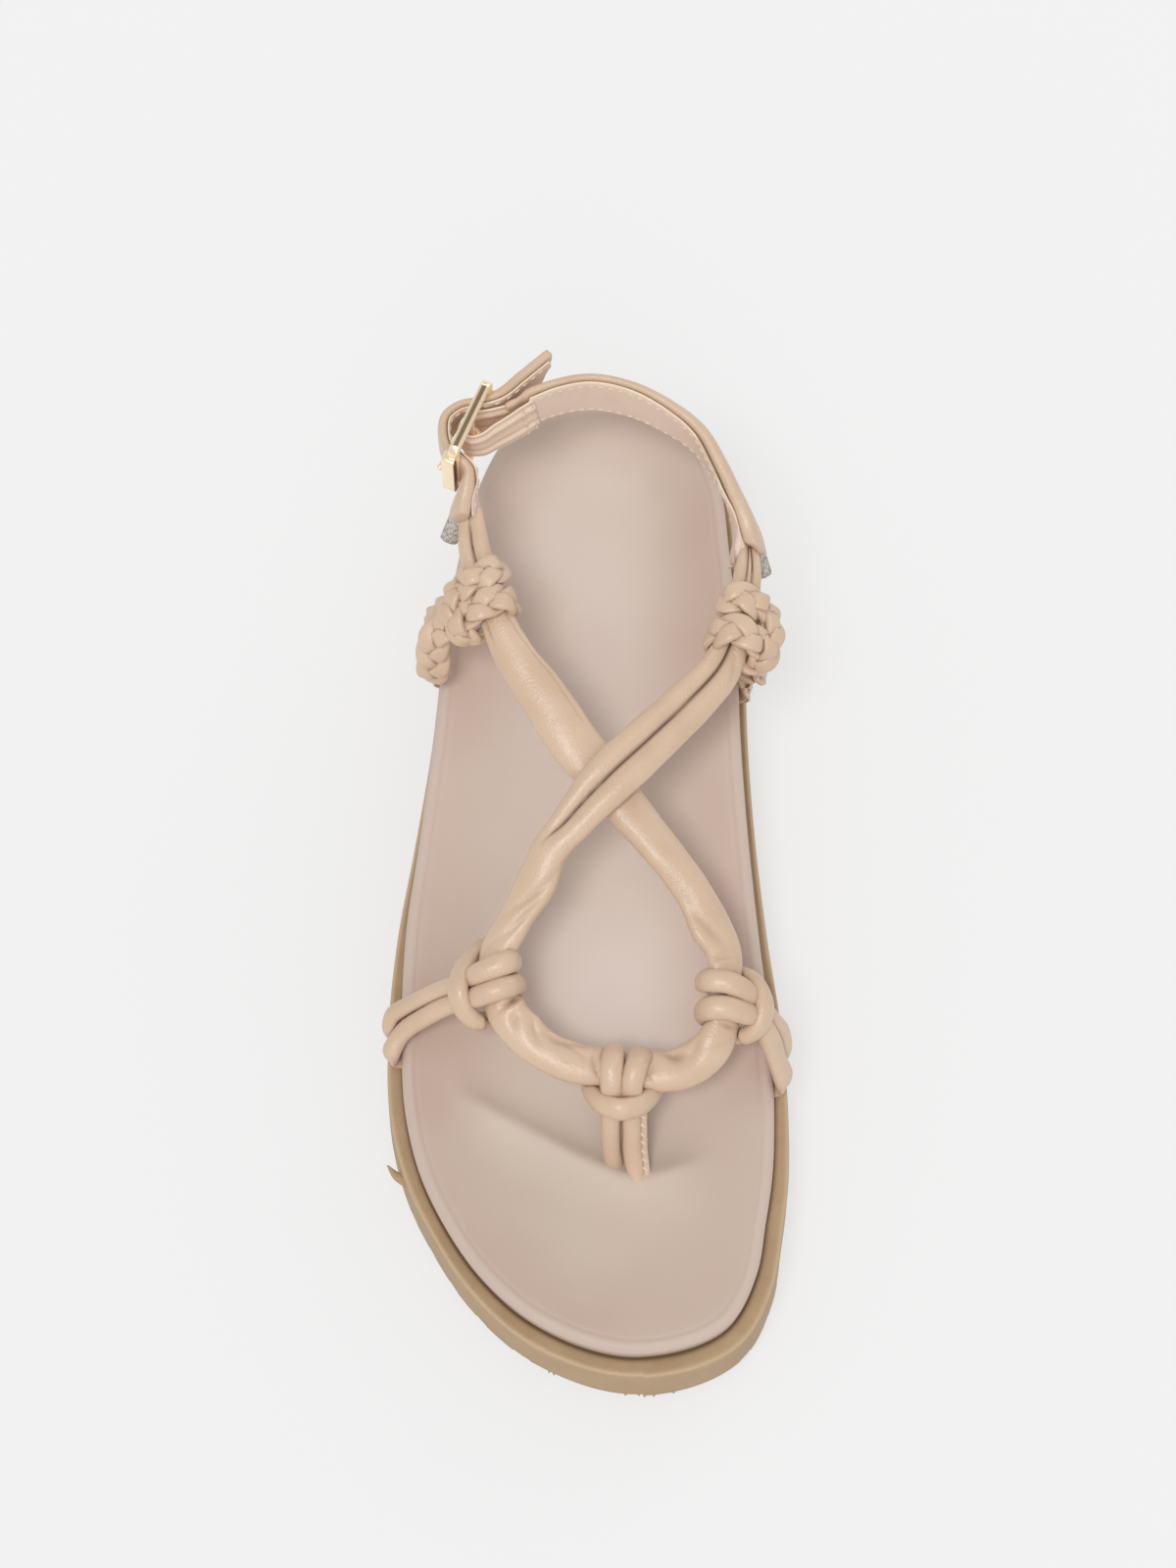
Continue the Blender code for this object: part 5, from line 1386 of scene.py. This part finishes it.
def padded_strip(name, rows, layer, ends, edge=0.0, pucker=0.0, tip=(0.0, 0.0), slant=0.0):
    """A strap's outer or inner layer.

    Ends round it off, edge narrows it, mostly at the top, and pucker gathers its start in small folds. Tip
    draws its end out, by an amount at the middle and one more towards the upper edge. Slant draws out the
    outside of its start and draws in the inside.
    """
    path, up, out, halves = band(rows)
    length = chords(path)[-1]
    lift, thick = layer

    def shape(u, v):
        half = rows_at(halves, v)
        full = end_share(path, v, ends)
        rise, reach = pillow(u, *BAND_CORNERS)
        height = half[:, 0] - edge
        at = v * length
        slide = (tip[0] + tip[1] * rise) * soft_step(length - TIP_LENGTH, length, at)
        slide = slide - slant * reach * (1 - soft_step(0.0, START_SLANT_LENGTH, at))
        folds = np.cos(rise * 7.0 + 0.25 * at) * np.exp(-at / PUCKER_FADE) * np.sign(reach)
        swell = PUCKER_SWELL * np.sign(pucker) * np.exp(-((at / PUCKER_FADE) ** 4))
        middle = lift[0] * half[:, 1] + lift[1] + pucker * folds
        across = middle + reach * (thick[0] * half[:, 1] + thick[1] + swell) * full
        # Painted shade in the puckers' folds on the inner face
        crease_shade = PUCKER_SHADE * np.sign(pucker) * soft_step(0.25, 0.9, folds * np.sign(reach)) * (reach < 0)
        # Painted highlight along the linings' upper edge
        pale = np.sign(edge) * soft_step(HIGHLIGHT_EDGE, 1.0, rise) * soft_step(*HIGHLIGHT_FROM, at)
        return rise * height * full - edge / 2, across, slide, {"crease_shade": crease_shade, "pale": pale}

    return strip(name, path, up, out, shape, *BAND_MESH)


def edge_stitches(name, rows, heights, face, finish, start=EDGE_STITCH_START, end=EDGE_STITCH_START):
    """Rows of stitches on a strap's inner face, at heights below its upper edge or above its lower one."""
    path, up, out, halves = band(rows)
    tangent = unit(np.gradient(path, axis=0))
    run = chords(path)
    places = []
    for height in heights:
        for at in np.arange(start, run[-1] - end, EDGE_STITCH_PITCH):
            i = np.searchsorted(run, at)
            rise = halves[i, 0] - height if height > 0 else -halves[i, 0] - height
            inside = face[0] * halves[i, 1] + face[1]
            places.append((path[i] + up[i] * rise + out[i] * inside, tangent[i], -out[i]))
    install(stitches(name, places, *EDGE_STITCH), finish, "lining_leather")


def make_heel_strap(finish, lining, stitch_finish):
    rows = HEEL_LEATHER_START + HEEL_STRAP + HEEL_LEATHER_END
    cover = padded_strip("heel_strap_leather", rows, HEEL_LEATHER, HEEL_LEATHER_ENDS, slant=HEEL_START_SLANT)
    install(cover, finish, "strap_leather", "heel_strap")
    rows = HEEL_LINING_START + HEEL_STRAP
    form = dict(edge=LINING_EDGE, pucker=PUCKER_DEPTH)
    backing = padded_strip("heel_strap_lining", rows, HEEL_LINING, HEEL_LINING_ENDS, **form)
    install(backing, lining, "lining_leather")
    where = rows, HEEL_STITCH_HEIGHTS, HEEL_STITCH_FACE
    edge_stitches("heel_strap_stitches", *where, stitch_finish, start=HEEL_STITCH_START)
    sew_loop(stitch_finish)
    return [cover, backing]


def loop_rows():
    size = (LOOP_HALF_HEIGHT, LOOP_HALF_THICK)
    return [(*buckle_point(along, out, LOOP_Z), *size, lean) for along, out, lean in BUCKLE_LOOP]


def sew_loop(stitch_finish):
    """Two upright rows of stitches where the loop's end is sewn to the heel strap's lining."""
    path, up, out, halves = band(loop_rows())
    run = chords(path)
    places = []
    for back in LOOP_SEAM:
        i = np.searchsorted(run, run[-1] - back)
        inside = out[i] if out[i, :2] @ (np.array(ANKLE) - path[i, :2]) > 0 else -out[i]
        for height in np.linspace(-LOOP_SEAM_REACH, LOOP_SEAM_REACH, LOOP_SEAM_COUNT):
            point = path[i] + up[i] * height + inside * (LOOP_HALF_THICK + LOOP_STITCH_LIFT)
            places.append((point, up[i], inside))
    install(stitches("loop_seam_stitches", places, *LOOP_STITCH), stitch_finish, "lining_leather")


def make_buckle_strap(finish, lining, stitch_finish):
    outer, inner = BUCKLE_STRAP_TIPS
    rows = buckle_rows(BUCKLE_LEATHER_START + BUCKLE_STRAP)
    cover = padded_strip("buckle_strap_leather", rows, BUCKLE_LEATHER, BUCKLE_LEATHER_ENDS, tip=outer)
    install(cover, finish, "strap_leather", "buckle_strap")
    rows = buckle_rows(BUCKLE_LINING_START + BUCKLE_STRAP)
    form = dict(edge=LINING_EDGE, tip=inner)
    backing = padded_strip("buckle_strap_lining", rows, BUCKLE_LINING, BUCKLE_LINING_ENDS, **form)
    install(backing, lining, "lining_leather")
    where = rows, BUCKLE_STITCH_HEIGHTS, BUCKLE_STITCH_FACE
    edge_stitches("buckle_strap_stitches", *where, stitch_finish, end=BUCKLE_STITCH_END)
    return [cover, backing]


def make_buckle_loop(lining):
    path, up, out, halves = band(loop_rows())

    def ribbed(u, v):
        half = rows_at(halves, v)
        rise, reach = pillow(u, *LOOP_CORNERS)
        wave = np.cos(rise * LOOP_RIBS * FULL_TURN / 2)
        across = reach * half[:, 1] + LOOP_RIB_DEPTH * wave * np.sign(reach)
        # Painted shade in the ribs' troughs and a painted highlight along the upper edge
        marks = {"crease_shade": 0.3 * soft_step(0.3, 1.0, -wave), "pale": soft_step(0.82, 0.98, rise)}
        return rise * half[:, 0], across, np.zeros(len(u)), marks

    made = strip("buckle_loop_leather", path, up, out, ribbed, *LOOP_MESH)
    return install(made, lining, "lining_leather", "buckle_loop")


def place_in_buckle(made):
    """Moves a piece from the buckle's own axes, along, up and out, to its place on the shoe."""
    origin = buckle_point(0, 0, BUCKLE_CENTRE[2])
    along = unit(buckle_point(1, 0, BUCKLE_CENTRE[2]) - origin)
    out = unit(buckle_point(0, 1, BUCKLE_CENTRE[2]) - origin)
    turn = Matrix(np.column_stack([along, [0.0, 0.0, 1.0], out])).to_4x4()
    made.matrix_world = Matrix.Translation(Vector(origin * MM)) @ turn @ made.matrix_world
    pick(made)
    settle()
    bpy.ops.object.mode_set(mode="EDIT")
    bpy.ops.mesh.select_all(action="SELECT")
    bpy.ops.mesh.normals_make_consistent(inside=False)
    bpy.ops.object.mode_set(mode="OBJECT")
    bpy.ops.object.shade_smooth_by_angle(angle=SMOOTH_BELOW)


def make_buckle(finish):
    bpy.ops.object.select_all(action="DESELECT")
    bpy.ops.mesh.primitive_plane_add(size=2.0)
    ring = bpy.context.object
    reach = FRAME_HEIGHT / 2
    ring.scale = Vector((BUCKLE_HALF_LENGTH + reach, BUCKLE_HALF_HEIGHT + reach, 1.0)) * MM
    settle()
    bpy.ops.object.mode_set(mode="EDIT")
    bpy.ops.mesh.select_all(action="SELECT")
    bpy.ops.mesh.bevel(offset=BUCKLE_CORNER * MM, segments=6, affect="VERTICES")
    bpy.ops.mesh.select_all(action="SELECT")
    bpy.ops.mesh.inset(thickness=FRAME_HEIGHT * MM)
    bpy.ops.mesh.delete(type="FACE")
    bpy.ops.mesh.select_all(action="SELECT")
    bpy.ops.mesh.extrude_region_move(TRANSFORM_OT_translate={"value": (0, 0, FRAME_THICK * MM)})
    bpy.ops.mesh.select_all(action="SELECT")
    bpy.ops.transform.translate(value=(0, BUCKLE_RAISE * MM, -FRAME_THICK / 2 * MM))
    bpy.ops.mesh.normals_make_consistent(inside=False)
    bpy.ops.object.mode_set(mode="OBJECT")
    round_edges(ring, FRAME_BEVEL, 3)
    groove_top(ring)
    bpy.ops.object.select_all(action="DESELECT")
    bpy.ops.mesh.primitive_cylinder_add(
        vertices=32, radius=BAR_RADIUS * MM, depth=2 * BUCKLE_HALF_HEIGHT * MM, rotation=(math.pi / 2, 0, 0),
        location=(0, BUCKLE_RAISE * MM, 0),
    )
    bar = bpy.context.object
    settle()
    ring = join([ring, bar], "buckle_frame_gold")
    place_in_buckle(ring)
    install(ring, finish, "gold_metal", "buckle_frame")
    make_roller(finish)
    make_prong(finish)


def groove_top(ring):
    """A shallow groove along the frame's upper side, with painted shade in it."""
    for face in ring.data.polygons:
        face.select = face.normal.y > 0.99 and face.center.y > (BUCKLE_RAISE + BUCKLE_HALF_HEIGHT) * MM
    bpy.ops.object.mode_set(mode="EDIT")
    bpy.ops.mesh.select_mode(type="FACE")
    bpy.ops.mesh.inset(thickness=FRAME_GROOVE_INSET * MM, depth=-FRAME_GROOVE_DEPTH * MM)
    bpy.ops.object.mode_set(mode="OBJECT")
    set_mark(ring, "shade", [FRAME_GROOVE_SHADE if vertex.select else 0.0 for vertex in ring.data.vertices])


def make_roller(finish):
    bpy.ops.object.select_all(action="DESELECT")
    bpy.ops.mesh.primitive_cube_add(size=2.0, location=Vector(ROLLER_CENTRE) * MM)
    roller = bpy.context.object
    roller.name = roller.data.name = "buckle_roller_gold"
    roller.scale = Vector(ROLLER_HALVES) * MM
    settle()
    round_edges(roller, ROLLER_BEVEL, 4)
    # Painted shade on the roller's inner side
    inner = (ROLLER_CENTRE[2] - ROLLER_DARK * ROLLER_HALVES[2]) * MM
    set_mark(roller, "shade", [1.0 if vertex.co.z < inner else 0.0 for vertex in roller.data.vertices])
    place_in_buckle(roller)
    install(roller, finish, "gold_metal", "buckle_roller")


def make_prong(finish):
    """A hook round the centre bar, then out over the roller."""
    hook = BAR_RADIUS + PRONG_GAP + PRONG_RADIUS
    turns = np.radians(np.linspace(*PRONG_HOOK, 9))
    rows = [buckle_point(hook * math.cos(turn), hook * math.sin(turn), LOOP_Z) for turn in turns]
    rows += [buckle_point(along, out, LOOP_Z) for along, out in PRONG_WAY]
    line = smooth_rows([(*row, PRONG_RADIUS, PRONG_RADIUS) for row in rows], 10)
    across = np.tile([0.0, 0.0, 1.0], (len(line), 1))
    prong = tube("buckle_prong_gold", line, across, *PRONG_MESH, round_ends=PRONG_RADIUS)
    install(prong, finish, "gold_metal", "buckle_prong")


def make_elastic_end(name, centre, heading, finish):
    long_way = unit(heading)
    width = unit(np.cross(long_way, ELASTIC_FACE))
    ends = [np.array(centre) + long_way * ELASTIC_SIZE[2] * share for share in np.linspace(-0.5, 0.5, 21)]
    line = np.array([(*point, ELASTIC_SIZE[1] / 2, ELASTIC_SIZE[0] / 2) for point in ends])
    made = tube(f"{name}_tape", line, np.tile(width, (len(line), 1)), *ELASTIC_MESH, round_ends=ELASTIC_ROUND)
    install(made, finish, "elastic", name)


# Stage


def make_camera():
    lens = bpy.data.cameras.new("camera")
    lens.lens = CAMERA_LENS
    lens.sensor_width = 36.0
    lens.clip_start, lens.clip_end = 0.01, 50.0
    camera = bpy.data.objects.new("camera", lens)
    bpy.context.scene.collection.objects.link(camera)
    tilt = math.radians(CAMERA_ELEVATION)
    back = Vector((0.0, -math.cos(tilt), math.sin(tilt)))
    right = Vector((1.0, 0.0, 0.0))
    axes = Matrix((right, back.cross(right), back)).transposed().to_4x4()
    camera.matrix_world = Matrix.Translation(Vector(CAMERA_TARGET) + back * CAMERA_DISTANCE) @ axes
    bpy.context.scene.camera = camera


def make_stage():
    bpy.ops.object.select_all(action="DESELECT")
    bpy.ops.mesh.primitive_plane_add(size=12.0)
    floor = bpy.context.object
    floor.name = "floor"
    glow = dict(emission_color=(1.0, 1.0, 1.0, 1.0), emission_strength=FLOOR_GLOW)
    paint = dict(base_color=(FLOOR_WHITE,) * 3 + (1.0,), roughness=0.9, specular_ior_level=0.1)
    floor.data.materials.append(new_finish("floor_white", **paint, **glow)[0])
    world = bpy.data.worlds.new("studio")
    bpy.context.scene.world = world
    world.use_nodes = True
    world.node_tree.nodes["Background"].inputs["Color"].default_value = (1.0, 1.0, 1.0, 1.0)
    world.node_tree.nodes["Background"].inputs["Strength"].default_value = WORLD_LIGHT
    for name, strength, spread, tilt, swing in LAMPS:
        lamp = bpy.data.lights.new(name, "SUN")
        lamp.energy = strength
        lamp.angle = math.radians(spread)
        light = bpy.data.objects.new(name, lamp)
        light.rotation_euler = (math.radians(tilt), 0.0, math.radians(swing))
        bpy.context.scene.collection.objects.link(light)
    bpy.context.scene.view_settings.view_transform = "Standard"


def build():
    # Each leather: main and pale tones, then the colour of its painted shade
    tan = colour(205, 176, 150), colour(213, 185, 160), colour(86, 60, 42)
    cream = colour(224, 200, 183), colour(230, 209, 193), colour(140, 106, 80)
    peach = colour(236, 211, 189), colour(241, 219, 199), colour(150, 108, 84)
    strap = leather("strap_leather", *tan, rough=0.33, grain=0.55, gloss=0.16)
    lining = leather("lining_leather", *cream, rough=0.52, grain=0.3, gloss=0.0)
    # Painted light: a paler copy of the lining leather makes the buckle loop look lit
    loop = leather("lit_loop_leather", *peach, rough=0.5, grain=0.3, gloss=0.0)
    light_thread = thread("light_thread", colour(220, 198, 176))
    metal = gold()
    make_outsole(foam())
    make_footbed(footbed_leather())
    soft = [make_main_strap(strap)]
    for side, cord, braid in (
        ("lateral", BALL_CORD_LATERAL, BRAID_LATERAL),
        ("medial", BALL_CORD_MEDIAL, BRAID_MEDIAL),
    ):
        soft.append(make_cord(f"ball_cord_{side}", *side_cord(f"ball_cord_{side}", cord), strap))
        soft.append(make_braid(f"braid_{side}", *side_cord(f"braid_{side}", braid), strap))
    soft += make_toe_post(strap, light_thread)
    upright = make_heel_strap(strap, lining, light_thread) + make_buckle_strap(strap, lining, light_thread)
    upright.append(make_buckle_loop(loop))
    # Painted shade in the seams and gaps between the soft pieces
    paint_crevice_shade(soft + upright, upright)
    make_buckle(metal)
    weave = elastic_weave()
    for name, (centre, heading) in ELASTIC_ENDS.items():
        make_elastic_end(name, centre, heading, weave)


make_camera()
make_stage()
build()
